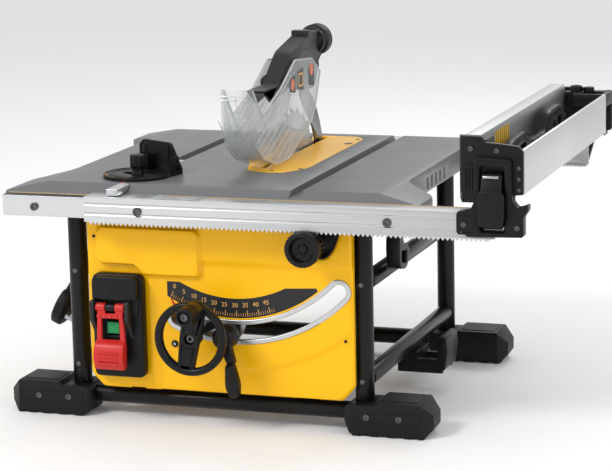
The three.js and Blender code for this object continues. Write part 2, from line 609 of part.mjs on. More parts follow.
function leadAlong(route, steps) {
  const path = new THREE.CatmullRomCurve3(route.map((point) => new THREE.Vector3(...point)), false, 'centripetal');
  const section = new THREE.Shape();
  for (let k = 0; k < 8; k += 1) {
    const angle = (Math.PI * 2 * (k + 0.5)) / 8;
    const [u, v] = [Math.cos(angle) * CORD_R, Math.sin(angle) * CORD_R];
    if (k === 0) section.moveTo(u, v);
    else section.lineTo(u, v);
  }
  section.closePath();
  return solid(new THREE.ExtrudeGeometry(section, { extrudePath: path, steps }));
}

function addCord() {
  add('power_cord', leadAlong(LEAD_TO_COIL, 14), rubber);
  add('plug_cord', leadAlong(LEAD_TO_PLUG, 28), rubber);
  const [inner, outer, width] = [COIL_R - 2 * CORD_R, COIL_R + 2 * CORD_R, 25];
  const coil = turned('x', [-253, COIL_Y, COIL_Z], [
    [inner, 0], [outer, 0], [outer, width], [inner, width], [inner, 0],
  ], 20);
  add('cord_coil', coil, rubber);
  const [plugX, plugY, plugZ] = [-241, 94, 172];
  const relief = rod('z', [plugX, plugY, plugZ - 22], 22, 7.5, 12, 5);
  const body = extrude('x', [
    [plugY - 22, 116, 4], [plugY - 12, 102, 5], [plugY + 12, 102, 5], [plugY + 22, 116, 4],
    [plugY + 22, 138, 6], [plugY + 10, 154, 5], [plugY - 10, 154, 5], [plugY - 22, 138, 6],
  ], plugX - 11, plugX + 9);
  add('power_plug', rotated(union(body, relief), [plugX, plugY, plugZ], 'y', 25), rubber);
}

// ---- Tilting carriage, lifting mechanism and blade ----
function addCarriage() {
  const sector = [
    [-18, 316], [14, 306], [26, 292], [42, 210], [42, 146], [36, 126], [26, 114], [-72, 114], [-86, 134],
    [-86, 154], [-70, 210],
  ];
  const wheelHole = rod('y', [WHEEL_X, 10, WHEEL_Z], 30, 5.6, 14);
  const leverHole = rod('y', [LEVER_X, 10, LEVER_Z], 30, 5.6, 14);
  const rods = [160, 440].map((y) => rod('z', [BLADE_X - 36, y, 120], 188, 6, 12));
  const topLug = box(WHEEL_X - 9, WHEEL_X + 9, 25, 142, 302, 308)
    .subtract(rod('z', [WHEEL_X, 130, 300], 10, 5.4, 12));
  const frame = union(
    extrude('y', sector, 22, 28), extrude('y', sector, 466, 472),
    box(-72, -8, 27, 467, 114, 127), ...rods, topLug,
  );
  add('tilt_frame', frame.subtract(wheelHole).subtract(leverHole), steel);

  const stem = polar(-19.5, 211);
  const tip = polar(-28.6, 186);
  const pointer = union(
    box(stem[0] - 3, stem[0] + 3, -5, 22 - GAP, stem[1] - 3, stem[1] + 4),
    extrude('y', [[tip[0], tip[1]], [stem[0] + 3, stem[1] + 6], [stem[0] + 3, stem[1] - 3],
      [stem[0] - 4, stem[1] - 3]], -5, -2.5),
  );
  add('bevel_pointer', pointer, red);

  const hub = turned('y', [LEVER_X, -30, LEVER_Z], [[0, 0], [12, 0], [15, 3], [17, 16], [17, 26], [0, 26]], 20);
  const bolt = rod('y', [LEVER_X, -10, LEVER_Z], 44, 5, 12);
  const arm = extrude('y', [[20, 124], [36, 126], [43, 96], [33, 92]], -32, -20);
  const grip = extrude('y', [[31, 97, 5], [43, 98, 5], [51, 68, 6], [49, 52, 8], [38, 49, 8], [30, 64, 6]], -40, -24);
  add('bevel_lock_lever', union(hub, bolt, arm, grip), black);

  const wheelRim = turned('y', [WHEEL_X, -58, WHEEL_Z], [
    [40, 4], [43, 0.5], [48, 0], [WHEEL_R, 3], [WHEEL_R, 10], [48, 13.5], [43, 13.5], [40, 10], [40, 4],
  ], 32);
  const spoke = extrude('y', [
    [WHEEL_X - 20, WHEEL_Z - 41], [WHEEL_X + 4, WHEEL_Z - 44], [WHEEL_X + 23, WHEEL_Z + 38],
    [WHEEL_X - 7, WHEEL_Z + 43],
  ], -56, -46);
  const wheelHub = turned('y', [WHEEL_X, -46, WHEEL_Z], [[0, 0], [14, 0], [12, 12], [0, 12]], 20);
  const recess = rod('y', [WHEEL_X, -60, WHEEL_Z], 7, 8, 16);
  const shaft = rod('y', [WHEEL_X, -36, WHEEL_Z], 148, 5, 12).add(rod('y', [WHEEL_X, 110, WHEEL_Z], 7, 6, 14, 3.6));
  add('handwheel', union(wheelRim, spoke, wheelHub, shaft).subtract(recess), black);
  const crank = turned('y', [CRANK_X, -98, CRANK_Z], [
    [0, 6], [8.5, 6], [9.2, 0], [11, 0], [12, 1.5], [14.8, 38], [14.8, 39.7], [0, 39.7],
  ], 24);
  add('crank_knob', crank, black);

  const screw = union(
    rod('z', [WHEEL_X, 130, 142], 164, 5, 12), rod('z', [WHEEL_X, 130, 134], 8.5, 4, 14, 9),
  );
  add('elevation_screw', screw, steel);
}

function arcPoints(y, z, radius, from, to, steps) {
  const points = [];
  for (let k = 0; k <= steps; k += 1) {
    const angle = THREE.MathUtils.degToRad(from + ((to - from) * k) / steps);
    points.push([y + radius * Math.cos(angle), z + radius * Math.sin(angle)]);
  }
  return points;
}

// Everything here is laid out about the blade's plane as X = 0.
function addBladeUnit() {
  const place = (name, part, material) => add(name, part.translate([BLADE_X, 0, 0]), material);
  const screwX = WHEEL_X - BLADE_X;
  const sleeve = (y) => rod('z', [-36, y, 250], 34, 14, 14).subtract(rod('z', [-36, y, 240], 60, 6.5, 12));
  const block = union(
    box(-58, -19, 240, 372, 236, 312), box(-50, -20, 172, 428, 258, 276), sleeve(160), sleeve(440),
    box(-44, -18, 141, 180, 262, 274), box(screwX - 12, screwX + 10, 120, 142, 262, 274),
    rod('x', [-20, BLADE_Y, BLADE_Z], 12, 20, 18), box(-20, -1.5, 426, 448, 252, 268),
    box(-30, -18, 424, 448, 252, 268),
  );
  const bores = union(
    rod('x', [-46, BLADE_Y, BLADE_Z], 50, 8.5, 16), rod('z', [screwX, 130, 250], 40, 5.5, 12),
    rod('z', [-36, 160, 240], 60, 6.5, 12), rod('z', [-36, 440, 240], 60, 6.5, 12),
  );
  place('gear_housing', block.subtract(bores), steel);
  const motor = turned('x', [-152, 338, 264], [
    [0, 0], [30, 0], [40, 8], [42, 16], [42, 70], [40, 74], [40, 80], [36, 93.6], [0, 93.6],
  ], 24);
  place('motor', motor, black);

  const arbor = union(
    rod('x', [-44, BLADE_Y, BLADE_Z], 52, 8, 16), rod('x', [-6, BLADE_Y, BLADE_Z], 4.5, 18, 20),
    rod('x', [1.5, BLADE_Y, BLADE_Z], 3.5, 18, 20), rod('x', [5, BLADE_Y, BLADE_Z], 6, 12, 6),
  );
  place('arbor_shaft', arbor, steel);
  const teeth = 24;
  const rim = [];
  for (let k = 0; k < teeth; k += 1) {
    const angle = (2 * Math.PI * k) / teeth;
    const step = (2 * Math.PI) / teeth;
    rim.push([BLADE_Y + BLADE_R * Math.cos(angle), BLADE_Z + BLADE_R * Math.sin(angle)]);
    for (const [along, r] of [[0.2, 96], [0.4, 98], [0.9, 103.5]]) {
      rim.push([BLADE_Y + r * Math.cos(angle + along * step), BLADE_Z + r * Math.sin(angle + along * step)]);
    }
  }
  const disc = extrude('x', rim, -BLADE_THICK / 2, BLADE_THICK / 2)
    .subtract(rod('x', [-5, BLADE_Y, BLADE_Z], 10, 8.4, 16));
  place('saw_blade', disc, steel);

  const knife = [
    [416, 246], [444, 246],
    ...arcPoints(BLADE_Y, BLADE_Z, KNIFE_OUTER, -8, 74, 9), [344, 408],
    ...arcPoints(BLADE_Y, BLADE_Z, 112, 60, 0, 7), [416, 280],
  ];
  place('riving_knife', extrude('x', knife, -1.1, 1.1), steel);

  // A channel straddling the knife, rising to a round dust outlet at the back.
  const armSide = [
    [150, 441, 3], [216, 441, 3], [272, 481, 8], [358, 498, 6], [420, 500, 4], [420, 464, 4], [398, 454, 6],
    [384, 424, 6], [372, 417], [332, 417, 6], [312, 430, 8], [262, 432, 8], [186, 418, 4],
  ];
  const hollow = [
    [120, 370], [376, 370], [379, 420], [391, 456], [430, 470], [430, 494], [358, 493], [274, 476],
    [219, 436.5], [120, 436.5],
  ];
  const channel = extrude('x', armSide, -12, 12).subtract(extrude('x', hollow, -9.5, 9.5));
  const saddle = box(-10, 10, 338, 378, 417, 436);
  const knifeSlot = extrude('x', [
    ...arcPoints(BLADE_Y, BLADE_Z, KNIFE_OUTER + 0.6, 10, 84, 10), ...arcPoints(BLADE_Y, BLADE_Z, 90, 84, 10, 6),
  ], -1.5, 1.5);
  const port = turned('y', [0, 402, 482], [
    [17, 0], [20, 0], [20, 10], [23, 12], [23, 32], [21, 34], [17, 34], [17, 0],
  ], 22);
  const clip = box(-13, 13, 350, 365, 493, 503);
  const riser = union(channel, saddle, port, clip)
    .subtract(knifeSlot)
    .subtract(rod('x', [-30, ...LINK_PIN], 60, 3.4, 12));
  place('guard_arm', riser, darkGrey);

  const [pinY, pinZ] = LINK_PIN;
  const bar = (x) => box(x, x + 3, SHIELD_PIN[0] - 4, pinY + 4, pinZ - 4, pinZ + 4);
  place('shield_link', union(rod('x', [-18.2, pinY, pinZ], 36.4, 3, 12), bar(-18.2), bar(15.2)), darkGrey);

  const side = [
    [48, 448, 4], [52, 455, 3], [84, 452, 2], [117, 413, 2], [196, 438], [264, 472, 4], [338, 466, 6],
    [379, 441, 5], [354, 393, 5], [334, 373, 5], [310, 362, 4], [226, 333, 4], [171, 334, 6], [119, 350, 6],
    [92, 370, 6], [60, 404, 4],
  ];
  const inside = [
    [51, 470], [50.5, 448], [62.5, 405.5], [94, 372.5], [121, 352.8], [172, 336.4], [174, 320], [400, 320],
    [400, 480],
  ];
  const wall = SHIELD_HALF - 2.4;
  const nose = (half, front) => extrude('z', [
    [-half, front + 32, 8], [-half + 7, front + 6, 8], [0, front - 1, 6], [half - 7, front + 6, 8],
    [half, front + 32, 8], [half, 400], [-half, 400],
  ], 310, 490);
  const shield = extrude('x', side, -SHIELD_HALF, SHIELD_HALF).intersect(nose(SHIELD_HALF, 48))
    .subtract(extrude('x', inside, -wall, wall).intersect(nose(wall, 51)));
  place('guard_shield', shield, clear);

  const wallTop = 302;
  const shroudSide = [
    [186, wallTop], [186, 213], ...arcPoints(BLADE_Y, 225, 111, 190, 318, 9), [464, 132], [464, 166], [424, 176],
    [424, wallTop],
  ];
  const cavity = [
    [190, 310], [190, 212], ...arcPoints(BLADE_Y, 225, 108, 190, 316, 9), [470, 136], [470, 162], [420, 172],
    [420, 310],
  ];
  const shroud = extrude('x', shroudSide, -15, 15.5).subtract(extrude('x', cavity, -12, 13))
    .subtract(box(-16, -11, 170, 432, 160, 310)).subtract(box(-16, 12, 180, 192, 214, 310))
    .subtract(box(-16, 12, 418, 430, 177, 310));
  place('blade_shroud', shroud, black);
}

// ---- Mitre gauge ----
function addMitreGauge() {
  const floor = TABLE_TOP - SLOT_DEPTH + GAP;
  add('miter_bar', box(-SLOT_X - 8, -SLOT_X + 8, -38, 210, floor, TABLE_TOP), aluminium);
  const pivot = [-SLOT_X - 5, 68, 0];
  const [cx, cy] = pivot;
  const disc = rod('z', [cx, cy, TABLE_TOP + GAP], 4, 48, 32);
  const slotCut = extrude('z', [[cx - 24, cy - 8, 6], [cx + 20, cy - 20, 6], [cx + 24, cy - 12, 6], [cx - 20, cy + 4, 6]], 320, 340);
  const face = extrude('y', [
    [cx - 30, TABLE_TOP + GAP], [cx + 44, TABLE_TOP + GAP], [cx + 44, TABLE_TOP + 8], [cx + 26, TABLE_TOP + 43, 3],
    [cx - 22, TABLE_TOP + 45, 2], [cx - 30, TABLE_TOP + 38],
  ], cy + 40, cy + 44);
  const slots = union(
    box(cx - 19, cx - 16, cy + 30, cy + 50, TABLE_TOP + 15, TABLE_TOP + 38),
    box(cx + 22, cx + 25, cy + 30, cy + 50, TABLE_TOP + 15, TABLE_TOP + 38),
  );
  const foot = box(cx - 30, cx + 44, cy + 20, cy + 41, TABLE_TOP + GAP, TABLE_TOP + 5.3);
  const head = union(disc.subtract(slotCut), foot, face.subtract(slots))
    .subtract(rod('z', [cx + 2, cy - 12, 320], 30, 4.4, 12));
  add('miter_head', rotated(head, pivot, 'z', -18), black);
  const knobAt = [cx + 4, cy - 10, TABLE_TOP + 4 + 2 * GAP];
  const knob = turned('z', knobAt, [[0, 0], [9, 0], [7.5, 6], [10.5, 12], [11, 24], [9, 28], [0, 28]], 20);
  add('miter_knob', knob, black);
}

addStand();
addFeet();
addTable();
addRails();
addPinions();
addFence();
addHousing();
addStowage();
addCord();
addCarriage();
addBladeUnit();
addMitreGauge();

export default saw;
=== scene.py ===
# A portable table saw on its tube stand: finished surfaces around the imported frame.
import json
from math import ceil, cos, pi, radians, sin

import bpy
import numpy as np
from mathutils import Matrix, Vector
from mathutils.geometry import delaunay_2d_cdt, tessellate_polygon

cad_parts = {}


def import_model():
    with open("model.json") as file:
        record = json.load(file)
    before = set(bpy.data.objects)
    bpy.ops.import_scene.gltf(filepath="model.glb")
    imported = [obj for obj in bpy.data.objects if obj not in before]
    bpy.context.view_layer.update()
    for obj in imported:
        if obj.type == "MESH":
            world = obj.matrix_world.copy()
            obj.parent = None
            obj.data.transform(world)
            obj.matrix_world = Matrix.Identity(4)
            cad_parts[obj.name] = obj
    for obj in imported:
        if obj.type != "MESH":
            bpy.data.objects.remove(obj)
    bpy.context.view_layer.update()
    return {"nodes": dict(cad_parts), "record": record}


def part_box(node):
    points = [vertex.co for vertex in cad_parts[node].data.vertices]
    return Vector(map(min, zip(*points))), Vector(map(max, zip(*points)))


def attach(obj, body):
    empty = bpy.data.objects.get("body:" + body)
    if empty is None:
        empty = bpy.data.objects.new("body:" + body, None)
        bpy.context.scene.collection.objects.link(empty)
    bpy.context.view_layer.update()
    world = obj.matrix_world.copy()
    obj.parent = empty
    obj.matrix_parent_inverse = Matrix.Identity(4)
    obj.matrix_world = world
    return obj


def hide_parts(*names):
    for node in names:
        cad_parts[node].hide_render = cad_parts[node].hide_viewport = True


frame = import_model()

# Shapes are laid out in saw coordinates, in mm: X from the table's middle, Y back from the feet's
# front faces, Z up from the floor. ORIGIN is that point in the row frame, in metres.
MM = 0.001
table_low, table_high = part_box("table")
ORIGIN = Vector(((table_low.x + table_high.x) / 2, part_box("front_left_foot")[0].y, 0))
SLOTS = {row["node"]: row["material_slot"] for row in frame["record"]["subparts"]}
AXES = {"x": (1, 2, 0), "y": (0, 2, 1), "z": (0, 1, 2)}     # the places of an outline's u, v and depth


def world(point):
    return ORIGIN + Vector(point) * MM


# ---- Closed shells: (points, faces) in saw coordinates ----
def place(axis, u, v, depth):
    point = [0.0, 0.0, 0.0]
    for index, value in zip(AXES[axis], (u, v, depth)):
        point[index] = value
    return tuple(point)


def corner_curve(start, here, end, steps):
    times = [k / steps for k in range(steps + 1)]
    return [start * (1 - t) ** 2 + here * 2 * t * (1 - t) + end * t * t for t in times]


def rounded(corners, steps=4, closed=True):
    """Corners [u, v] or [u, v, radius], with each radius turned into a curve."""
    points, count = [], len(corners)
    for i, corner in enumerate(corners):
        here = Vector(corner[:2])
        radius = corner[2] if len(corner) > 2 else 0
        before = Vector(corners[i - 1][:2]) - here
        after = Vector(corners[(i + 1) % count][:2]) - here
        reach = min(radius, 0.45 * before.length, 0.45 * after.length)
        if reach <= 0 or (not closed and i in (0, count - 1)):
            points.append(tuple(here))
            continue
        start, end = here + before.normalized() * reach, here + after.normalized() * reach
        points += [tuple(p) for p in corner_curve(start, here, end, steps)]
    return points


def loop_area(points):
    return sum(a[0] * b[1] - b[0] * a[1] for a, b in zip(points, points[1:] + points[:1])) / 2


def counterclockwise(points):
    return points if loop_area(points) > 0 else points[::-1]


def inset(points, distance):
    out = []
    for i, point in enumerate(points):
        a = (Vector(point) - Vector(points[i - 1])).normalized()
        b = (Vector(points[(i + 1) % len(points)]) - Vector(point)).normalized()
        normal = Vector((-(a.y + b.y), a.x + b.x))
        stretch = 1 / max(normal.length / 2, 0.4)
        normal = normal.normalized() if normal.length > 1e-6 else Vector((-a.y, a.x))
        out.append(tuple(Vector(point) + normal * distance * stretch))
    return out


def closed_up(points, faces):
    """The shell with every face pointing out."""
    p = np.array(points, float)
    volume = 0.0
    for f in faces:
        for k in range(1, len(f) - 1):
            volume += np.dot(p[f[0]], np.cross(p[f[k]], p[f[k + 1]]))
    return (points, faces) if volume > 0 else (points, [f[::-1] for f in faces])


def prism(axis, outline, low, high, holes=(), bevel=0.6, steps=2, curve=4):
    """An outline with rounded edges between two depths along an axis."""
    loops = [counterclockwise(rounded(c, curve)) for c in (outline, *holes)]
    bevel = min(bevel, (high - low) * 0.45)
    turns = [pi / 2 * k / steps for k in range(steps + 1)] if bevel > 0 else [pi / 2]
    rim = [(bevel * (1 - sin(t)), bevel * (1 - cos(t))) for t in turns]
    levels = [(i, low + h) for i, h in rim] + [(i, high - h) for i, h in reversed(rim)]
    points, faces, starts = [], [], []
    for shrink, depth in levels:
        row = []
        for n, loop in enumerate(loops):
            row.append(len(points))
            ring = inset(loop, shrink if n == 0 else -shrink) if shrink > 1e-6 else loop
            points += [place(axis, u, v, depth) for u, v in ring]
        starts.append(row)
    for lower, upper in zip(starts, starts[1:]):
        for n, loop in enumerate(loops):
            size = len(loop)
            for i in range(size):
                j = (i + 1) % size
                quad = [lower[n] + i, lower[n] + j, upper[n] + j, upper[n] + i]
                faces.append(quad if n == 0 else quad[::-1])
    u, v, _ = AXES[axis]
    size = sum(len(loop) for loop in loops)
    for start, up in ((starts[0][0], False), (starts[-1][0], True)):
        flat = [Vector((points[start + i][u], points[start + i][v], 0)) for i in range(size)]
        groups, at = [], 0
        for loop in loops:
            groups.append(flat[at:at + len(loop)])
            at += len(loop)
        for a, b, c in tessellate_polygon(groups):
            area = (flat[b] - flat[a]).cross(flat[c] - flat[a]).z
            if abs(area) > 1e-9:
                triangle = [start + a, start + b, start + c]
                faces.append(triangle if (area > 0) == up else triangle[::-1])
    return closed_up(points, faces)


def box(x0, x1, y0, y1, z0, z1, bevel=0.6, steps=2):
    return prism("z", [[x0, y0], [x1, y0], [x1, y1], [x0, y1]], z0, z1, bevel=bevel, steps=steps)


def lathe(axis, centre, profile, sides=48, curve=4):
    """A solid of revolution from profile corners [radius, height] or [radius, height, rounding]."""
    rings, points, faces = [], [], []
    u, v, w = AXES[axis]
    for r, h in rounded(profile, curve):
        count = 1 if r < 1e-6 else sides
        rings.append((len(points), count))
        for k in range(count):
            angle = 2 * pi * k / sides
            around = centre[u] + r * cos(angle), centre[v] + r * sin(angle)
            points.append(place(axis, *around, centre[w] + h))
    for (a, na), (b, nb) in zip(rings, rings[1:] + rings[:1]):
        for k in range(sides):
            j = (k + 1) % sides
            if na > 1 and nb > 1:
                faces.append([a + k, a + j, b + j, b + k])
            elif na > 1:
                faces.append([a + k, a + j, b])
            elif nb > 1:
                faces.append([a, b + j, b + k])
    return closed_up(points, faces)


def rod(axis, centre, length, radius, bevel=0.6, sides=32):
    return lathe(axis, centre, [[0, 0], [radius, 0, bevel], [radius, length, bevel], [0, length]], sides, 2)


def tube(path, radius, sides=16, section=None):
    """A solid bar along a path, round or of a given [u, v] section; radius may be one number per point."""
    path = [Vector(p) for p in path]
    radii = radius if isinstance(radius, (list, tuple)) else [radius] * len(path)
    ring = section or [(cos(2 * pi * k / sides), sin(2 * pi * k / sides)) for k in range(sides)]
    sides, points, faces = len(ring), [], []
    ahead = (path[1] - path[0]).normalized()
    side = ahead.orthogonal() if abs(ahead.z) > 0.9 else ahead.cross(Vector((0, 0, 1)))
    side.normalize()
    for i, here in enumerate(path):
        now = (path[min(i + 1, len(path) - 1)] - path[max(i - 1, 0)]).normalized()
        side = (side - now * side.dot(now)).normalized()
        up = side.cross(now)
        points += [tuple(here + (side * a + up * b) * radii[i]) for a, b in ring]
    for i in range(len(path) - 1):
        for k in range(sides):
            j = (k + 1) % sides
            faces.append([i * sides + k, i * sides + j, (i + 1) * sides + j, (i + 1) * sides + k])
    faces.append(list(range(sides))[::-1])
    faces.append([(len(path) - 1) * sides + k for k in range(sides)])
    return closed_up(points, faces)


def bent(path, radius, steps=5):
    """A path of straight runs with its inner corners rounded off."""
    points = [Vector(p) for p in path]
    out = [points[0]]
    for before, here, after in zip(points, points[1:], points[2:]):
        reach = min(radius, 0.45 * (before - here).length, 0.45 * (after - here).length)
        start = here + (before - here).normalized() * reach
        end = here + (after - here).normalized() * reach
        out += corner_curve(start, here, end, steps)
    return out + [points[-1]]


def turned(shell, pivot, axis, degrees):
    turn = Matrix.Rotation(radians(degrees), 3, axis.upper())
    pivot = Vector(pivot)
    return [tuple(turn @ (Vector(p) - pivot) + pivot) for p in shell[0]], shell[1]


def signed_distance(points, outline):
    """Distance from each point to an outline, negative inside it."""
    p = np.asarray(points, float)
    a = np.array(outline, float)
    b = np.roll(a, -1, axis=0)
    along = b - a
    best = np.full(len(p), 1e9)
    inside = np.zeros(len(p), bool)
    for start, end, run in zip(a, b, along):
        t = np.clip(((p - start) @ run) / max(run @ run, 1e-12), 0, 1)
        best = np.minimum(best, np.linalg.norm(p - (start + t[:, None] * run), axis=1))
        if start[1] != end[1]:
            cross = (start[1] > p[:, 1]) != (end[1] > p[:, 1])
            x = run[0] * (p[:, 1] - start[1]) / (end[1] - start[1]) + start[0]
            inside ^= cross & (p[:, 0] < x)
    return np.where(inside, -best, best)


def smooth(t):
    t = np.clip(t, 0, 1)
    return t * t * (3 - 2 * t)


def divided(loop, step):
    out = []
    for a, b in zip(loop, loop[1:] + loop[:1]):
        a, b = Vector(a), Vector(b)
        count = max(1, ceil((b - a).length / step))
        out += [tuple(a.lerp(b, k / count)) for k in range(count)]
    return out


def relief(outline, depth_at, wall, step, holes):
    """A moulded skin facing the front: its face is at depth_at(points), with a wall of one thickness."""
    loops = [divided(counterclockwise(rounded(c)), step) for c in (outline, *holes)]
    low, high = np.min(loops[0], axis=0), np.max(loops[0], axis=0)
    us, vs = np.arange(low[0] + step / 2, high[0], step), np.arange(low[1] + step / 2, high[1], step)
    grid = np.stack(np.meshgrid(us, vs), -1).reshape(-1, 2)
    grid = grid[signed_distance(grid, loops[0]) < -0.45 * step]
    for hole in loops[1:]:
        grid = grid[signed_distance(grid, hole) > 0.45 * step]
    flat = [Vector(p) for loop in loops for p in loop] + [Vector(p) for p in grid]
    edges, at = [], 0
    for loop in loops:
        edges += [(at + i, at + (i + 1) % len(loop)) for i in range(len(loop))]
        at += len(loop)
    found, _, triangles, _, _, _ = delaunay_2d_cdt(flat, edges, [], 1, 1e-5)
    flat = np.array([tuple(p) for p in found])
    centres = flat[np.array(triangles)].mean(axis=1)
    kept = signed_distance(centres, loops[0]) < 0
    for hole in loops[1:]:
        kept &= signed_distance(centres, hole) > 0
    triangles = [face for face, keep in zip(triangles, kept) if keep]
    depth = depth_at(flat)
    points = [(u, d + back, v) for back in (0, wall) for (u, v), d in zip(flat, depth)]
    count, faces, uses = len(flat), [], set()
    for face in triangles:
        face = list(face)
        faces += [face, [k + count for k in face[::-1]]]
        uses.update(zip(face, face[1:] + face[:1]))
    faces += [[b, a, a + count, b + count] for a, b in sorted(uses) if (b, a) not in uses]
    return closed_up(points, faces)


def circle(u, v, radius, count=24):
    angles = [radians(360 * k / count) for k in range(count)]
    return [(u + radius * cos(a), v + radius * sin(a)) for a in angles]


def lettering(words, size, depth, centre, turn):
    """Raised characters as a shell: they lie in XY, are moved by the matrix turn, then put at centre."""
    curve = bpy.data.curves.new("lettering", "FONT")
    curve.body, curve.size, curve.extrude = words, size, depth / 2
    curve.align_x, curve.align_y, curve.resolution_u = "CENTER", "CENTER", 3
    holder = bpy.data.objects.new("lettering", curve)
    bpy.context.scene.collection.objects.link(holder)
    mesh = bpy.data.meshes.new_from_object(holder.evaluated_get(bpy.context.evaluated_depsgraph_get()))
    points = [tuple(turn @ v.co + Vector(centre)) for v in mesh.vertices]
    faces = [list(p.vertices) for p in mesh.polygons]
    bpy.data.objects.remove(holder)
    bpy.data.meshes.remove(mesh)
    bpy.data.curves.remove(curve)
    return points, faces


# ---- Camera, floor and light ----
AZIMUTH, ELEVATION, ROLL = 0.326202, 0.195660, -0.0211318
CAMERA_AT = (1108.70, -2870.85, 871.49)
FOCAL_PIXELS, IMAGE_WIDTH, SENSOR = 2328.43, 612, 36.0

ahead = Vector((-sin(AZIMUTH) * cos(ELEVATION), cos(AZIMUTH) * cos(ELEVATION), -sin(ELEVATION)))
level = Vector((cos(AZIMUTH), sin(AZIMUTH), 0))
upright = level.cross(ahead)
right = level * cos(ROLL) + upright * sin(ROLL)
up = upright * cos(ROLL) - level * sin(ROLL)
camera = bpy.data.objects.new("camera", bpy.data.cameras.new("camera"))
bpy.context.scene.collection.objects.link(camera)
camera.data.sensor_width = SENSOR
camera.data.lens = FOCAL_PIXELS / IMAGE_WIDTH * SENSOR
camera.data.clip_end = 100
facing = Matrix((right, up, -ahead)).transposed().to_4x4()
camera.matrix_world = Matrix.Translation(world(CAMERA_AT)) @ facing
bpy.context.scene.camera = camera


def lamp(name, at, aim, size, power):
    light = bpy.data.objects.new(name, bpy.data.lights.new(name, "AREA"))
    light.data.shape, light.data.size, light.data.energy = "DISK", size, power
    light.location = at
    light.rotation_mode = "QUATERNION"
    light.rotation_quaternion = (Vector(aim) - Vector(at)).to_track_quat("-Z", "Y")
    bpy.context.scene.collection.objects.link(light)


lamp("key", (-1.6, -2.2, 2.4), (0, 0, 0.2), 1.0, 50)
lamp("fill", (2.4, -1.2, 1.3), (0, 0, 0.25), 1.6, 12)
lamp("rim", (0.4, 2.4, 2.2), (0, 0, 0.3), 1.4, 20)
bpy.context.scene.view_settings.view_transform = "Standard"
sky = bpy.data.worlds.new("studio")
bpy.context.scene.world = sky
sky.use_nodes = True
sky.node_tree.nodes["Background"].inputs["Color"].default_value = (1, 1, 1, 1)
sky.node_tree.nodes["Background"].inputs["Strength"].default_value = 0.78


# ---- Materials ----
def finish(name, colour, rough, metal=0.0, grain=900, bump=0.1, mottle=0.05, stretch=(1, 1, 1), edge=0.0,
           stripes=None, alpha=None, **constants):
    """A procedural material: fine grain in the bump, slow mottling of colour and gloss, and a painted
    highlight that lightens the edges where pointiness is high.
    stripes is (axis, pitch in m, share, colour); alpha is (face on, edge on) for see-through plastic."""
    made = bpy.data.materials.new(name)
    made.use_nodes = True
    tree = made.node_tree
    shader = tree.nodes["Principled BSDF"]

    def put(socket, value):
        if isinstance(value, bpy.types.NodeSocket):
            tree.links.new(value, socket)
        else:
            socket.default_value = value

    def node(kind, output, inputs, **settings):
        new = tree.nodes.new("ShaderNode" + kind)
        for key, value in settings.items():
            setattr(new, key, value)
        for key, value in inputs.items():
            put(new.inputs[key], value)
        return new.outputs[output]

    def mixed(factor, first, second):
        return node("Mix", 2, {0: factor, 6: first, 7: second}, data_type="RGBA")

    def ranged(value, low, high, to_low, to_high):
        limits = {"From Min": low, "From Max": high, "To Min": to_low, "To Max": to_high}
        return node("MapRange", "Result", {"Value": value, **limits})

    def maths(operation, first, second=0.5):
        return node("Math", 0, {0: first, 1: second}, operation=operation)

    def tinted(scale, lift=0.0):
        return (*[min(1, c * scale + lift) for c in colour], 1)

    object_place = node("TexCoord", "Object", {})
    place_at = node("Mapping", "Vector", {"Vector": object_place, "Scale": stretch})
    fine = node("TexNoise", "Fac", {"Vector": place_at, "Scale": grain, "Detail": 3.0})
    slow = node("TexNoise", "Fac", {"Vector": place_at, "Scale": 14.0, "Detail": 4.0})
    bumps = {"Height": fine, "Strength": bump, "Distance": 0.0004}
    put(shader.inputs["Normal"], node("Bump", "Normal", bumps))
    speckle = maths("MULTIPLY", maths("ADD", fine, slow))
    paint = mixed(speckle, tinted(1 - mottle), tinted(1 + mottle))
    if stripes:
        axis, pitch, share, ink = stripes
        cycle = maths("FRACT", maths("DIVIDE", node("SeparateXYZ", axis, {0: object_place}), pitch))
        paint = mixed(maths("LESS_THAN", cycle, share), paint, (*ink, 1))
    # Painted highlight: where the bevels make pointiness high, the colour is mixed toward a lighter tint,
    # standing in for light catching the edges.
    if edge:
        edge_highlight_mask = ranged(node("NewGeometry", "Pointiness", {}), 0.51, 0.60, 0.0, edge)
        paint = mixed(edge_highlight_mask, paint, tinted(1.6, 0.06))
    put(shader.inputs["Base Color"], paint)
    put(shader.inputs["Roughness"], ranged(slow, 0.3, 0.7, rough * 0.88, min(1, rough * 1.12)))
    shader.inputs["Metallic"].default_value = metal
    for key, value in constants.items():
        shader.inputs[key.replace("_", " ")].default_value = value
    if alpha:
        put(shader.inputs["Alpha"], ranged(node("LayerWeight", "Facing", {"Blend": 0.35}), 0, 1, *alpha))
    return made


def plastic(name, colour, rough, gloss, grain=900, bump=0.16, mottle=0.15, edge=0.02):
    """An opaque plastic or paint with its specular level, gloss, turned down from 0.5."""
    return finish(name, colour, rough, 0.0, grain, bump, mottle, edge=edge, Specular_IOR_Level=gloss)


def brushed(name, stretch):
    return finish(name, (0.60, 0.61, 0.62), 0.33, 0.95, 700, 0.14, 0.07, stretch)
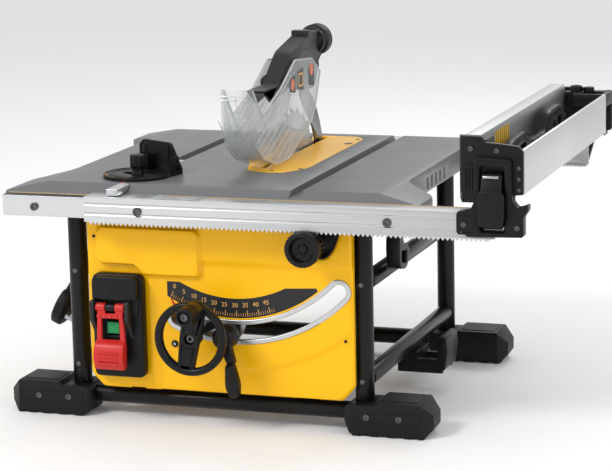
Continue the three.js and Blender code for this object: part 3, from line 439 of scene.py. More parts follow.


# edge sets how strong each finish's painted edge highlight is.
YELLOW = plastic("yellow_plastic", (0.97, 0.51, 0.0008), 0.34, 0.30, bump=0.08, mottle=0.02, edge=0)
BLACK = plastic("black_plastic", (0.0045, 0.0045, 0.0048), 0.38, 0.24)
GREY = plastic("grey_plastic", (0.014, 0.014, 0.015), 0.38, 0.3, bump=0.14, mottle=0.12, edge=0.03)
TUBE = plastic("powder_coat", (0.004, 0.004, 0.0043), 0.30, 0.26, 420, 0.10, 0.12, 0)
RUBBER = plastic("rubber", (0.0055, 0.0055, 0.006), 0.48, 0.24, 1200, 0.22, 0.18)
RED = plastic("red_plastic", (0.56, 0.018, 0.014), 0.36, 0.4, bump=0.10, mottle=0.05, edge=0.06)
SCALE = plastic("scale_plate", (0.016, 0.016, 0.017), 0.40, 0.36, bump=0.06, mottle=0.08, edge=0)
GREEN = finish("green_plastic", (0.0, 0.30, 0.08), 0.28, bump=0.06, mottle=0.06)
TABLE = finish("cast_table", (0.155, 0.158, 0.165), 0.42, 0.3, grain=1500, bump=0.08, mottle=0.07, edge=0.18)
BRUSHED_X = brushed("brushed_x", (0.02, 1, 1))
BRUSHED_Y = brushed("brushed_y", (1, 0.02, 1))
STEEL = finish("steel", (0.40, 0.41, 0.43), 0.30, 1.0, 800, 0.10, 0.10, (1, 1, 0.1))
DARK_STEEL = finish("dark_steel", (0.11, 0.11, 0.115), 0.20, 1.0, 800, 0.10, 0.12)
# The light grey tint of the clear plastic, and the lighter tint of the ribs' material, are painted highlight
# on the clear guard.
CLEAR = finish("clear_plastic", (0.50, 0.52, 0.53), 0.05, grain=160, bump=0.08, mottle=0.06,
               alpha=(0.07, 0.70), Specular_IOR_Level=0.8)
RIB_HIGHLIGHT = finish("clear_rib_highlight", (0.74, 0.76, 0.77), 0.08, grain=160, bump=0.05, mottle=0.05,
             alpha=(0.55, 0.35), Specular_IOR_Level=0.9)
INK = finish("scale_ink", (0.72, 0.40, 0.12), 0.50, bump=0.04)
TAPE = finish("scale_tape", (0.50, 0.34, 0.14), 0.45, bump=0.05,
              stripes=(0, 0.005, 0.14, (0.03, 0.025, 0.02)))
LABEL = finish("sight_label", (0.80, 0.48, 0.02), 0.40, bump=0.04, mottle=0.25,
               stripes=(1, 0.011, 0.30, (0.015, 0.012, 0.01)))
SIGHT = finish("sight_colour", (0.72, 0.16, 0.05), 0.40, bump=0.04, mottle=0.10)
FLOOR = finish("floor", (0.93, 0.93, 0.93), 0.75, grain=60, bump=0.02, mottle=0.01)
FINISHES = {
    "tube": TUBE, "rubber": RUBBER, "cast_table": TABLE, "yellow_plastic": YELLOW, "aluminium": BRUSHED_X,
    "clear_plastic": CLEAR, "black_plastic": BLACK, "grey_plastic": GREY, "red_plastic": RED,
    "green_plastic": GREEN, "steel": STEEL,
}


# ---- Pieces ----
REPLACED = set()


def mesh_object(name, shells, material, crease=32):
    points, faces = [], []
    for shell_points, shell_faces in shells:
        start = len(points)
        points += shell_points
        faces += [[start + k for k in f] for f in shell_faces]
    mesh = bpy.data.meshes.new(name)
    mesh.from_pydata([world(p) for p in points], [], faces)
    mesh.materials.append(material)
    mesh.polygons.foreach_set("use_smooth", [True] * len(mesh.polygons))
    mesh.set_sharp_from_angle(angle=radians(crease))
    made = bpy.data.objects.new(name, mesh)
    bpy.context.scene.collection.objects.link(made)
    return made


def piece(name, shells, body, slot, *nodes, material=None, crease=32):
    """A finished piece that rides on a body and stands for the CAD nodes named."""
    made = mesh_object(name, shells, material or FINISHES[slot], crease)
    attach(made, body)
    if nodes:
        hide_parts(*nodes)
        REPLACED.update(nodes)
    return made


def carry(node, bevel, material=None):
    """A CAD node whose shape is right: its edges are eased and it gets its finish."""
    part = frame["nodes"][node]
    part.data.materials.clear()
    part.data.materials.append(material or FINISHES[SLOTS[node]])
    part.data.polygons.foreach_set("use_smooth", [True] * len(part.data.polygons))
    weld = part.modifiers.new("weld", "WELD")
    weld.merge_threshold = 0.00001
    flat = part.modifiers.new("flat", "DECIMATE")
    flat.decimate_type, flat.angle_limit = "DISSOLVE", radians(1)
    ease = part.modifiers.new("ease", "BEVEL")
    ease.width, ease.segments = bevel * MM, 2
    ease.limit_method, ease.angle_limit = "ANGLE", radians(28)
    ease.harden_normals = True


def screw(axis, centre, radius, height, toward=-1):
    """A socket head: a rounded cap with a hexagonal recess, facing along an axis."""
    u, v, w = AXES[axis]
    cap = circle(centre[u], centre[v], radius)
    hexagon = circle(centre[u], centre[v], radius * 0.5, 6)
    base, top = centre[w], centre[w] + toward * height
    floor_at = centre[w] + toward * height * 0.35
    low, high = min(floor_at, top), max(floor_at, top)
    ring = prism(axis, cap, low, high, [hexagon], bevel=radius * 0.12, curve=1)
    seat = prism(axis, cap, min(base, floor_at), max(base, floor_at), bevel=0, curve=1)
    return [ring, seat]


def blocks(*sizes):
    return [box(*size) for size in sizes]


def bolts(name, shells, body="base"):
    piece(name, shells, body, "steel", material=DARK_STEEL)


def rect(u0, u1, v0, v1, *radius):
    return [[u0, v0, *radius], [u1, v0, *radius], [u1, v1, *radius], [u0, v1, *radius]]


def within(outline, distance):
    """An outline's rounded shape, smaller all round by a distance."""
    return inset(counterclockwise(rounded(outline)), distance)


FLOOR_HALF, FLOOR_Z = 20000, -0.6
corners = [(x * FLOOR_HALF, y * FLOOR_HALF, FLOOR_Z) for x, y in ((-1, -1), (1, -1), (1, 1), (-1, 1))]
floor = mesh_object("floor", [(corners, [[0, 1, 2, 3]])], FLOOR)


# ---- The mains lead: one cord from the gland, wound on the wrap, over the side tube to the plug ----
CORD_R = 4.0
COIL_AT = (300.0, 176.9)          # the coil's centre, Y and Z
INNER_TURN, OUTER_TURN = 44.5, 52.6
COLUMNS = (-248.9, -240.6, -232.3)
COIL_IN_X, COIL_OUT_X, COIL_END_R = -244, -235.2, 60.9      # where the lead joins the coil and leaves it
COIL_DEGREES, COIL_STEP = 1800, 9


def spline(points, per=6):
    """The centripetal Catmull-Rom curve through the points."""
    p = [Vector(q) for q in points]
    p = [p[0] * 2 - p[1]] + p + [p[-1] * 2 - p[-2]]
    out = []
    for a, b, c, d in zip(p, p[1:], p[2:], p[3:]):
        t1 = (b - a).length ** 0.5
        t2 = t1 + (c - b).length ** 0.5
        t3 = t2 + (d - c).length ** 0.5
        for k in range(per):
            t = t1 + (t2 - t1) * k / per
            e = a * ((t1 - t) / t1) + b * (t / t1)
            f = b * ((t2 - t) / (t2 - t1)) + c * ((t - t1) / (t2 - t1))
            g = c * ((t3 - t) / (t3 - t2)) + d * ((t - t2) / (t3 - t2))
            h = e * ((t2 - t) / t2) + f * (t / t2)
            i = f * ((t3 - t) / (t3 - t1)) + g * ((t - t1) / (t3 - t1))
            out.append(h * ((t2 - t) / (t2 - t1)) + i * ((t - t1) / (t2 - t1)))
    return out + [p[-2]]


def step_between(value, start, end):
    return float(smooth((value - start) / (end - start)))


def coil_point(turn):
    """Where the coil is after a number of degrees: the inner layer first, then the outer one."""
    x = COLUMNS[0] + (COIL_IN_X - COLUMNS[0]) * (1 - step_between(turn, 0, 30))
    x += (COLUMNS[1] - COLUMNS[0]) * step_between(turn, 345, 420)
    x += (COLUMNS[2] - COLUMNS[1]) * step_between(turn, 705, 780)
    x += (COLUMNS[1] - COLUMNS[2]) * step_between(turn, 1425, 1500)
    x += (COIL_OUT_X - COLUMNS[1]) * step_between(turn, 1725, 1800)
    r = COIL_END_R - (COIL_END_R - INNER_TURN) * step_between(turn, 5, 150)
    r += (OUTER_TURN - INNER_TURN) * step_between(turn, 1065, 1140)
    r += (COIL_END_R - OUTER_TURN) * step_between(turn, 1725, 1800)
    angle = radians(turn)
    return Vector((x, COIL_AT[0] + r * cos(angle), COIL_AT[1] + r * sin(angle)))


LEAD_TO_COIL = [
    (-186.3, 366, 118), (-196, 366, 118), (-206, 366, 118.6), (-216, 365.6, 121.5), (-225, 364.8, 127),
    (-233, 363.5, 135.5), (-239, 362.2, 146), (-242.5, 361.2, 158), (-244, 360.9, 168), (-244, 360.9, 176.9),
]
LEAD_TO_PLUG = [
    (-235.2, 360.9, 176.9), (-235.3, 356.3, 200.2), (-235.6, 343.1, 220), (-236.2, 323.3, 233.2),
    (-237, 300, 237.8), (-237, 288, 237.4), (-236, 274, 235.5), (-233, 256, 232), (-228, 238, 228),
    (-221, 220, 224),
    (-214, 202, 221), (-208, 184, 219.6), (-205.5, 166, 219.4), (-207, 148, 219.6), (-212, 131, 219),
    (-218.5, 117, 215.5), (-225, 106, 208.5), (-229.8, 99, 199), (-233.6, 95.5, 189), (-237.4, 94.2, 180),
    (-240.9, 94, 172.3),
]
coil = [coil_point(turn) for turn in range(0, COIL_DEGREES, COIL_STEP)]
route = spline(LEAD_TO_COIL, 3)[:-1] + coil + spline(LEAD_TO_PLUG, 3)
PLUG = (-241.0, 94.0, 172.0)      # where the lead enters the plug, which hangs turned about Y
PLUG_LEAN = 25
PX, PY = PLUG[:2]


def hung(shells):
    return [turned(shell, PLUG, "y", PLUG_LEAN) for shell in shells]


relief_profile = [[0, 0], [5, 0, 0.5]]
for k in range(5):
    neck, collar, down = 5.2 + 0.5 * k, 6.6 + 0.6 * k, -4.2 * k
    relief_profile += [[neck, down - 1.5, 0.4], [collar, down - 2, 0.6], [collar, down - 4.3, 0.6],
                       [neck, down - 4.8, 0.4]]
relief_profile += [[7.5, -22], [0, -22]]
plug_side = [
    [PY - 22, 116, 6], [PY - 12, 102, 6], [PY + 12, 102, 6], [PY + 22, 116, 6],
    [PY + 22, 138, 8], [PY + 10, 154, 6], [PY - 10, 154, 6], [PY - 22, 138, 8],
]
plug_inner = [[PY + (u - PY) * 0.72, 128 + (v - 128) * 0.72, r] for u, v, r in plug_side]
plug_piece = piece("mains_plug", hung([
    prism("x", plug_side, PX - 10, PX + 7, bevel=4, steps=3),
    prism("x", plug_inner, PX + 5, PX + 9, bevel=1.5), prism("x", plug_inner, PX - 11, PX - 9, bevel=0.8),
    lathe("z", PLUG, relief_profile, 28),
    *[box(PX - 7, PX + 5, PY + side * 21.6 - 0.8, PY + side * 21.6 + 0.8, z, z + 3, 0.5)
      for side in (-1, 1) for z in (120, 126, 132)],
]), "base", "rubber", "power_plug")
pin_piece = piece("plug_pins", hung([
    box(PX + 8.5, PX + 22, PY + y - 2, PY + y + 2, z - 3.2, z + 3.2, 0.8)
    for y, z in ((0, 142), (-11, 120), (11, 120))
]), "base", "steel")
TIE_ANGLE = 2.2
tie_loop = [
    (-254.2, 48.5), (-254.2, 58.3), (-240.6, 58.6), (-227.1, 58.3), (-227.1, 48.5), (-227.1, 39),
    (-240.6, 38.7), (-254.2, 39), (-254.2, 47.5),
]
tie = tube([(x, COIL_AT[0] + r * cos(TIE_ANGLE), COIL_AT[1] + r * sin(TIE_ANGLE)) for x, r in tie_loop],
           1, section=[(-0.8, -6), (0.8, -6), (0.8, 6), (-0.8, 6)])
tie_piece = piece("cord_tie", [tie], "base", "black_plastic")
lead = piece("mains_lead", [tube(route, CORD_R, 14)], "base", "rubber",
             "power_cord", "plug_cord", "cord_coil", crease=60)


# ---- Front panel ----
PANEL_FACE, PANEL_LEFT, PANEL_RIGHT = 4.0, -182.0, 200.0
ARC_AT, ARC_R = (31.0, 342.0), 210.0      # the tilt slot's curve
ARC_FROM, ARC_TO = -22.5, 45.5
GEAR_X, GEAR_Z = 151.0, 263.4


def polar(degrees, radius):
    angle = radians(degrees)
    return (ARC_AT[0] + sin(angle) * radius, ARC_AT[1] - cos(angle) * radius)


def arc_band(half, steps=56):
    """A curved band about the slot's centre, with round ends."""
    sweep = ARC_TO - ARC_FROM
    points = [polar(ARC_FROM + sweep * k / steps, ARC_R - half) for k in range(steps + 1)]
    for at, side in ((ARC_TO, 1), (ARC_FROM, -1)):
        cx, cz = polar(at, ARC_R)
        s, c = sin(radians(at)), cos(radians(at))
        for k in range(1, 12):
            turn = side * (-pi / 2 + pi * k / 12)
            out, along = half * sin(turn), half * side * cos(turn)
            points.append((cx + out * s + along * c, cz - out * c + along * s))
        if side == 1:
            points += [polar(ARC_TO - sweep * k / steps, ARC_R + half) for k in range(steps + 1)]
    return points


BADGE = [[-164, 222, 8], [-110, 222, 6], [-98, 208, 6], [-16, 208, 8], [-16, 269, 8], [-164, 269, 8]]
PANEL = [
    [-182, 62, 4], [-164, 44, 4], [-124, 44, 2], [-120, 49, 2], [-106, 49, 2], [-102, 44, 2], [116, 44, 2],
    [120, 53, 2], [144, 53, 2], [148, 44, 2], [182, 44, 4], [200, 64, 4], [200, 282], [186, 282],
    [176, 253, 6], [165, 239, 8], [139, 239, 8], [123.6, 251, 8], [123.6, 282], [-182, 282],
]
badge_loop, panel_loop = rounded(BADGE), counterclockwise(rounded(PANEL))


def panel_depth(p):
    """How far back the panel's face lies: a proud badge, a brow, a dished lower edge and rounded rims."""
    x, z = p[:, 0], p[:, 1]
    face = np.full(len(p), PANEL_FACE)
    face -= 7.9 * smooth((3.5 - signed_distance(p, badge_loop)) / 3.5)
    face -= 4.9 * smooth((z - 222) / 9) * smooth((x + 22) / 10)
    r = np.hypot(x - ARC_AT[0], z - ARC_AT[1])
    face += 3.4 * smooth((r - 258.5) / 9) * smooth((x + 84) / 8) * (z < 200)
    face -= 1.6 * np.exp(-((x + 90) / 3.2) ** 2) * smooth((z - 60) / 12) * smooth((206 - z) / 8)
    rim = -signed_distance(p, panel_loop)
    face += 2.6 * (1 - np.sqrt(np.clip(1 - (1 - np.clip(rim / 3.5, 0, 1)) ** 2, 0, 1))) * (z < 280)
    return face


piece("front_panel_skin", [
    relief(PANEL, panel_depth, 2.4, 3.2, [arc_band(17.35)]),
    *blocks((PANEL_LEFT + 0.2, PANEL_LEFT + 3.4, 7, 20, 70, 280, 1.0),
            (PANEL_RIGHT - 3.4, PANEL_RIGHT - 0.2, 7, 14, 70, 280, 1.0),
            (-96, -94, 7.5, 19, 70, 268, 0.5), (-176, 194, 7.5, 17, 66, 68.4, 0.5)),
    prism("y", [[-127, 45], [-99, 45], [-104, 53], [-122, 53]], 8, 10.4, bevel=0.5),
    prism("y", [[112, 45], [152, 45], [146, 57], [118, 57]], 8, 10.4, bevel=0.5),
], "base", "yellow_plastic", "front_panel", crease=38)
pocket = [[124.4, 281.5], [124.4, 251.5, 7], [139.5, 240, 7], [164.5, 240, 7], [175, 253.5, 5], [185, 281.5]]
lining = [
    [124.2, 281.5], [124.2, 250.6, 7], [139.3, 239.4, 7], [164.8, 239.4, 7], [175.8, 253.2, 5],
    [185.8, 281.5], [184.2, 281.5], [174.4, 254.0, 5], [164.2, 240.9, 7], [139.8, 240.9, 7], [125.7, 252, 7],
    [125.7, 281.5],
]
liner = [prism("y", pocket, 16, 18, bevel=0.4), prism("y", lining, 0, 17, bevel=0.4)]
piece("pocket_liner", liner, "base", "black_plastic")
small = [rod("y", (-56, 2.6, 111), 1.6, 5.0, 0.7)]
small += [rod("y", (x, 2.9, z), 1.0, 2.2, 0.3) for x, z in ((189, 128), (-171, 256))]
piece("panel_bolt", small, "base", "black_plastic")
piece("panel_bolt_centre", [rod("y", (-56, 2.1, 111), 0.8, 2.0, 0.3)], "base", "steel")

# ---- The tilt slot's rim and its scale ----
piece("slot_rim", [
    prism("y", arc_band(16.9), 2.5, 10, [arc_band(10.4)], bevel=1.1, steps=3),
    prism("y", arc_band(13.2), 2.35, 4, [arc_band(11.6)], bevel=0.3),
], "base", "aluminium", "slot_bezel", material=BRUSHED_X)
PLATE_FACE = PANEL_FACE - 0.5
plate = [(-65, 178), (-65, 198), (-46.5, 198), *[polar(a, 163.5) for a in np.linspace(-28.3, 43.5, 40)]]
plate += [(149.5, 198.5), (150.6, 193.6), *[polar(a, 190.3) for a in np.linspace(38.9, -30.3, 40)]]
plate = [p for p in plate if p[1] <= 198.6]
piece("bevel_scale_plate", [prism("y", plate, PLATE_FACE, 4.4, bevel=0.25)], "base", "black_plastic",
      material=SCALE)
FACING_FRONT = Matrix.Rotation(radians(90), 3, "X")
ink = []
for k in range(10):
    x, z = polar(-29.4 + 5 * k, 172.8)
    ink.append(lettering(str(5 * k), 8.8, 0.3, (x, PLATE_FACE - 0.1, z), FACING_FRONT))


def stroke(axis, start, end, width, low, high, bevel=0):
    """A straight line or rib between two points of a face."""
    (u0, v0), (u1, v1) = start, end
    side = Vector((v1 - v0, u0 - u1)).normalized() * width / 2
    sides = [(u0 + side.x, v0 + side.y), (u1 + side.x, v1 + side.y)]
    sides += [(u1 - side.x, v1 - side.y), (u0 - side.x, v0 - side.y)]
    return prism(axis, sides, low, high, bevel=bevel)


for k in range(48):
    inner, width = (183.5, 0.5) if k % 5 else (180, 0.9)
    ends = polar(-28.8 + k, inner), polar(-28.8 + k, 188)
    ink.append(stroke("y", *ends, width, PLATE_FACE - 0.2, PLATE_FACE + 0.2))
piece("bevel_scale_marks", ink, "base", "black_plastic", material=INK)

# ---- Switch ----
SX = -138.5      # the middle of the key and the flap
switch = [
    prism("y", [[-170, 63, 9], [-96, 63, 9], [-96, 208, 12], [-170, 208, 12]], -11.9, 3.6,
          [rect(-148, -129, 122.5, 143.5, 1)], bevel=3.2, steps=4),
    prism("y", [[-166, 173, 3], [-100, 173, 3], [-100, 206, 9], [-166, 206, 9]], -22.6, -11,
          bevel=2.2, steps=3),
    prism("y", [[-163, 149, 4], [-103, 149, 4], [-99, 175, 3], [-167, 175, 3]], -14.5, -11.5, bevel=1.2),
    prism("y", rect(-139, -127, 185, 197, 2.5), -23, -22.2, [rect(-137.4, -128.6, 186.6, 195.4, 1.5)],
          bevel=0.3),
    *blocks((-162.5, -152, -18, -11, 155, 170, 1.4), (-125, -117, -18, -11, 155, 170, 1.4)),
    rod("x", (SX - 6.8, -22, 163), 13.6, 5.5, 0.8),
    *blocks((SX - 6.4, SX + 6.4, -22, -11, 158, 168, 0.8), (-148, -129, -3.8, -2.4, 122, 144, 0)),
]
piece("switch_body", switch, "base", "black_plastic", "switch_housing")
ear = [[-30, 173, 5], [-30, 146, 5], [-11.4, 118, 3], [-11.4, 173]]
ears = [prism("x", ear, x + 0.1, x + 6.4, bevel=1.4, steps=3) for x in (-167, -116)]
ears += [rod("x", (x, -23.5, 163), 0.7, 2.6, 0.2) for x in (-167.3, -110.0)]
piece("switch_ears", ears, "base", "grey_plastic")
key = blocks((SX - 8.4, SX + 8.4, -15.6, -7, 124.6, 141.4, 1.6, 3),
             (SX - 1.1, SX + 1.1, -16, -15.2, 129, 137, 0.25))
piece("start_key", key, "button", "green_plastic", "start_button")
leaf = [
    [SX - 18.5, 166, 2], [SX - 7.4, 166], [SX - 7.4, 155], [SX + 7.4, 155], [SX + 7.4, 166],
    [SX + 18.5, 166, 2], [SX + 21, 112, 2], [SX - 21, 112, 2],
]
window = [[SX - 13.5, 118, 2], [SX + 13.5, 118, 2], [SX + 13, 148, 2], [SX - 13, 148, 2]]
pad_side = [[-25.5, 118, 1], [-20.2, 114, 1], [-22.2, 80.5, 3], [-33.5, 76.6, 5], [-40.6, 96, 9],
            [-34, 113.4, 5]]
piece("stop_flap", [
    *[rod("x", (SX + x, -22, 163), 13.4, 6, 0.9, 40) for x in (-20.8, 7.4)],
    prism("y", leaf, -26, -20.2, [window], bevel=1.2, steps=3),
    prism("x", pad_side, SX - 22, SX + 22, bevel=2.4, steps=4),
    *[box(SX - 19 + 8.2 * k, SX - 13.8 + 8.2 * k, -27.2, -24, 148.5, 154, 0.8) for k in range(5)],
    *[box(SX - 15, SX + 15, -40.4, -36, z - 1.1, z + 1.1, 0.8) for z in (88, 93, 98, 103)],
], "paddle", "red_plastic", "stop_paddle")

# ---- Handwheel, crank, bevel lock and fine-adjust knob ----
WX, WZ = -11.2, 133.5
spoke = [[WX - 19, WZ - 40.5, 2], [WX + 4, WZ - 43.5, 2], [WX + 12.5, WZ - 6, 6], [WX + 22.4, WZ + 37.5, 2],
         [WX - 7, WZ + 42.5, 2], [WX - 14.5, WZ + 4, 6]]
tyre = [[40, 4, 2], [43, 0.5, 2.5], [48, 0.2, 2.5], [50.9, 3, 2.5], [50.9, 10, 2.5], [48, 13.4, 2],
        [43, 13.4, 2], [40, 10, 2]]
hub = [[7.6, 0, 0.6], [11.5, 0, 1], [13.6, 3, 1], [13.6, 11, 1], [11.8, 23, 0.6], [7.6, 23]]
CRANK_X, CRANK_Z = -2.0, 173.0
piece("wheel_rim", [
    lathe("y", (WX, -58, WZ), tyre, 80),
    prism("y", spoke, -55.8, -47, [circle(WX, WZ, 8.2)], bevel=1.6, steps=3),
    prism("y", within(spoke, 5), -56.6, -55.4, [circle(WX, WZ, 13)], bevel=0.5),
    lathe("y", (WX, -57.2, WZ), hub, 48),
    rod("y", (WX, -52, WZ), 166, 5, 0.4, 24),
    lathe("y", (WX, 110, WZ), [[0, 0], [6, 0], [3.6, 7], [0, 7]], 24),
    lathe("y", (CRANK_X, -57.6, CRANK_Z), [[0, 0], [13.2, 0, 0.8], [14, 3, 1], [14, 8, 1], [0, 8]], 40),
], "wheel", "black_plastic", "handwheel")
bolts("wheel_bolt", screw("y", (WX, -50.5, WZ), 5.6, 3.4), "wheel")
grip = [[0, 5], [8, 5, 0.6], [8.8, 0.2, 0.8], [10.6, 0.2, 0.8], [11.9, 1.8, 1.2], [13.2, 18, 4],
        [13.9, 20, 1.5], [13.9, 38, 1.5], [12.5, 39.4, 0.6], [0, 39.4]]
piece("crank_handle", [lathe("y", (CRANK_X, -98, CRANK_Z), grip, 56)], "crank", "black_plastic", "crank_knob")
bolts("crank_bolt", screw("y", (CRANK_X, -92.9, CRANK_Z), 5.2, 3.0), "crank")
LEVER_X, LEVER_Z = 25.0, 129.5
cap = [[0, 1.5, 1], [6, 1.5, 1], [7.5, 0, 0.8], [12, 0, 1], [15, 3, 1.2], [16.8, 16, 1], [16.8, 25.8, 1],
       [0, 25.8]]
blade_grip = [[31, 97, 5], [43, 98, 5], [51, 68, 8], [49.4, 52, 9], [38, 49.3, 9], [30.3, 64, 8]]
piece("bevel_lever_arm", [
    lathe("y", (LEVER_X, -30, LEVER_Z), cap, 48), rod("y", (LEVER_X, -10, LEVER_Z), 44, 5, 0.4, 24),
    prism("y", [[20, 124, 2], [36, 126, 2], [43, 96, 3], [33, 92, 3]], -31.8, -20.2, bevel=1.8, steps=3),
    prism("y", blade_grip, -39.8, -24.2, bevel=4.2, steps=4),
], "bevel_lever", "black_plastic", "bevel_lock_lever")


def gear(x, z, teeth=20, pitch_radius=20.0, first=-156.0):
    """A spur gear's outline about a Y axis, its teeth phased to the racks."""
    offset = ((first - x) / pitch_radius) % (2 * pi / teeth)
    flank = (17.4, 0.085), (19.6, 0.062), (21.0, 0.034)
    tooth = [*flank, *[(r, -turn) for r, turn in flank[::-1]]]
    middles = [pi / 2 - offset - 2 * pi * k / teeth for k in range(teeth)]
    corners = [(r, middle + turn) for middle in middles for r, turn in tooth]
    return [(x + r * cos(angle), z + r * sin(angle)) for r, angle in corners]


knob = [[0, 7.5, 0.8], [5.5, 7.5, 0.8], [7, 9.6, 0.8], [14.6, 8.8, 1.2], [17, 0.4, 1.2], [22.2, 0.1, 1.4],
        [23.3, 2.2, 1], [23.3, 14, 1], [21.8, 16.3, 0.8], [0, 16.3]]
grip_rib = box(GEAR_X + 22.9, GEAR_X + 24, -60.5, -50, GEAR_Z - 0.9, GEAR_Z + 0.9, 0.4)
piece("adjuster_knob", [
    lathe("y", (GEAR_X, -63, GEAR_Z), knob, 72),
    prism("y", gear(GEAR_X, GEAR_Z), -47.3, -25.5, bevel=0.4, steps=1),
    *[turned(grip_rib, (GEAR_X, 0, GEAR_Z), "y", 10 * k) for k in range(36)],
], "pinion", "black_plastic", "fine_adjust_knob")

# ---- Stand ----
LEG_X, FRONT_LEG_Y, REAR_LEG_Y, TUBE_R, CROSS_R = 207.0, 30.0, 450.0, 13.0, 12.0
SIDES = ("left", -LEG_X), ("right", LEG_X)
RIVET_PROUD, GAP = 1.2, TUBE_R + 0.3


def hollow_bar(axis, start, length, radius, wall=1.6):
    inner = radius - wall
    wall_line = [[inner, 0, 0.3], [radius, 0, 0.5], [radius, length, 0.5], [inner, length, 0.3]]
    return lathe(axis, start, wall_line, 40, 2)


for end, y in (("front", FRONT_LEG_Y), ("rear", REAR_LEG_Y)):
    face = (y - TUBE_R if end == "front" else y + TUBE_R) - RIVET_PROUD
    for side, x in SIDES:
        name = f"{end}_{side}_tube"
        piece(name, [hollow_bar("z", (x, y, 12), 310.7, TUBE_R)], "base", "tube", f"{end}_{side}_leg")
        bolts(f"{name}_rivets", [lathe("y", (x, face, z), [[0, 0], [3.6, 0, 1], [4.2, 2.4], [0, 2.4]], 20)
                                 for z in (70, 203)])
    reach = LEG_X - GAP
    piece(f"{end}_cross_bar", [hollow_bar("x", (-reach, y, 27), 2 * reach, CROSS_R)], "base", "tube",
          f"{end}_lower_tube")
for name, z in (("lower", 70), ("upper", 203)):
    for side, x in SIDES:
        shells = [hollow_bar("y", (x, FRONT_LEG_Y + GAP, z), REAR_LEG_Y - FRONT_LEG_Y - 2 * GAP, CROSS_R)]
        if side == "left" and name == "upper":
            wrap = -LEG_X - CROSS_R + 1
            spool = [[0, 0], [18.8, 0, 1.5], [18.8, 5, 1.2], [13.9, 5.2, 0.8], [13.9, 42], [0, 42]]
            shells += [box(wrap - 8, wrap, 284.2, 315.8, z - 13, z + 13, 2.5, 3),
                       lathe("x", (wrap - 49, 300, z), spool, 48)]
        piece(f"{side}_{name}_side_bar", shells, "base", "tube", f"{side}_{name}_side_tube")
feet_details, foot_screws = [], []
for y, front, toward in ((0, 0.4, -1), (420, 479.6, 1)):
    for side in (-1, 1):
        feet_details.append(prism("z", rect(side * 236, side * 286, y + 9, y + 51, 5), 46, 48, bevel=1))
        band = rect(side * 196, side * 292, 17, 34, 4)
        feet_details.append(prism("y", band, min(front, front + toward), max(front, front + toward),
                                  [within(band, 2.2)], bevel=0.4))
        for x in (side * 217, side * 262):
            foot_screws += screw("y", (x, front, 26), 4.6, 1.6, toward)
piece("foot_pads", feet_details, "base", "rubber")
bolts("foot_screws", foot_screws)

# ---- Rails: fixings, scale tapes and the end of the lock ----
bolts("rail_bolts", [s for x in (-84.5, 263.7) for s in screw("y", (x, -45.9, 302), 6.2, 2.0)], "rails")
bolts("fixed_rail_bolt", screw("y", (-239, -37.9, 302), 5.6, 2.4))
for name, size, body, slot, material in (
        ("sliding_rail_tape", (-60, 404, -19, -13, 319.9, 320.12, 0), "rails", "aluminium", TAPE),
        ("fixed_rail_tape", (-284, -163.5, -20, -14.5, 317.0, 317.3, 0), "base", "aluminium", TAPE),
        ("fixed_rail_seal", (-285.5, -163.5, -37, -22, 317.0, 317.5, 0.1), "base", "black_plastic", None),
        ("indicator_line", (-33.2, -32.6, -43, -25, 320.9, 321.02, 0), "base", "red_plastic", None)):
    piece(name, [box(*size)], body, slot, material=material)
lock_side = [[84, 272, 5], [96, 272, 5], [104, 246, 6], [126, 240, 8], [133.6, 226, 6], [118, 206.4, 10],
             [84, 212.4, 10], [80.3, 240, 8]]
lock_hole = [[92, 236, 3], [118, 232, 3], [114, 216, 4], [92, 220, 4]]
piece("rail_lock_paddle", [
    prism("x", lock_side, 223.2, 242.8, [lock_hole], bevel=2.4, steps=4),
    prism("x", lock_hole, 223.8, 229, bevel=0),
    *[box(242, 242.9, 88.5, 100, z, z + 2, 0.4) for z in (246, 251, 256)],
], "lock_lever", "black_plastic", "rail_lock_lever")

# ---- Fence brackets, latches and stick ----
fence_bolts = []
for x, y, z in ((377, -52.7, 403.5), (411, -52.7, 401.5), (369.4, -61.7, 307), (439, -61.7, 305)):
    fence_bolts += screw("y", (x, y, z), 3.6, 1.7)
for z in (352, 366, 380):
    fence_bolts += screw("y", (439.5, -52.8, z), 2.6, 1.2)
bolts("fence_bracket_screws", fence_bolts, "rails")
piece("fence_bracket_ribs", [
    *blocks((362, 379.5, -63.4, -61.6, 294.2, 297, 0.5), (362, 379.5, -63.4, -61.6, 316, 318.4, 0.5),
            (386, 428, -63.0, -61.7, 387.2, 389.8, 0.5)),
    *[box(368.5 + 4.2 * k, 370.9 + 4.2 * k, -54.4, -52.6, 349, 378, 0.5) for k in range(3)],
    *blocks((366.5, 380, -54.2, -52.7, 382, 384.2, 0.5), (427.5, 431.3, -63.2, -61.7, 345, 384, 0.7),
            (384.6, 388.2, -63.2, -61.7, 345, 384, 0.7)),
], "rails", "black_plastic")
latch_side = [[-54.2, 374, 1], [-53.7, 367], [-56, 330, 3], [-53.2, 306, 2], [-60, 301.2, 4], [-69.8, 308, 6],
              [-72.8, 346, 8], [-64, 373.8, 5]]
latch_face = [[391, 306, 6], [422, 306, 6], [424.4, 318, 6], [424.4, 346, 5], [420, 353, 3], [393, 353, 3],
              [389, 346, 5], [389, 318, 6]]
piece("front_latch_grip", [
    prism("x", latch_side, 393.2, 420.3, bevel=2.4, steps=4),
    prism("y", latch_face, -72.4, -64, bevel=2.4, steps=3),
    *[box(395, 418.5, -73.2, -71.8, z, z + 3.0, 0.7) for z in (316, 326, 336)],
], "front_latch", "black_plastic", "front_fence_latch")
piece("front_latch_pin", [rod("x", (396.5, -66.5, 369.6), 20.4, 2.2, 0.5)], "front_latch", "steel")
piece("fence_catch_plate", [box(394, 420, -52.4, -51.2, 298.5, 306, 0.4)], "rails", "steel")
piece("fence_sight_sticker", [prism("x", rect(93, 171, 374, 403, 2), 372.9, 373.3, bevel=0)], "rails",
      "aluminium", material=LABEL)
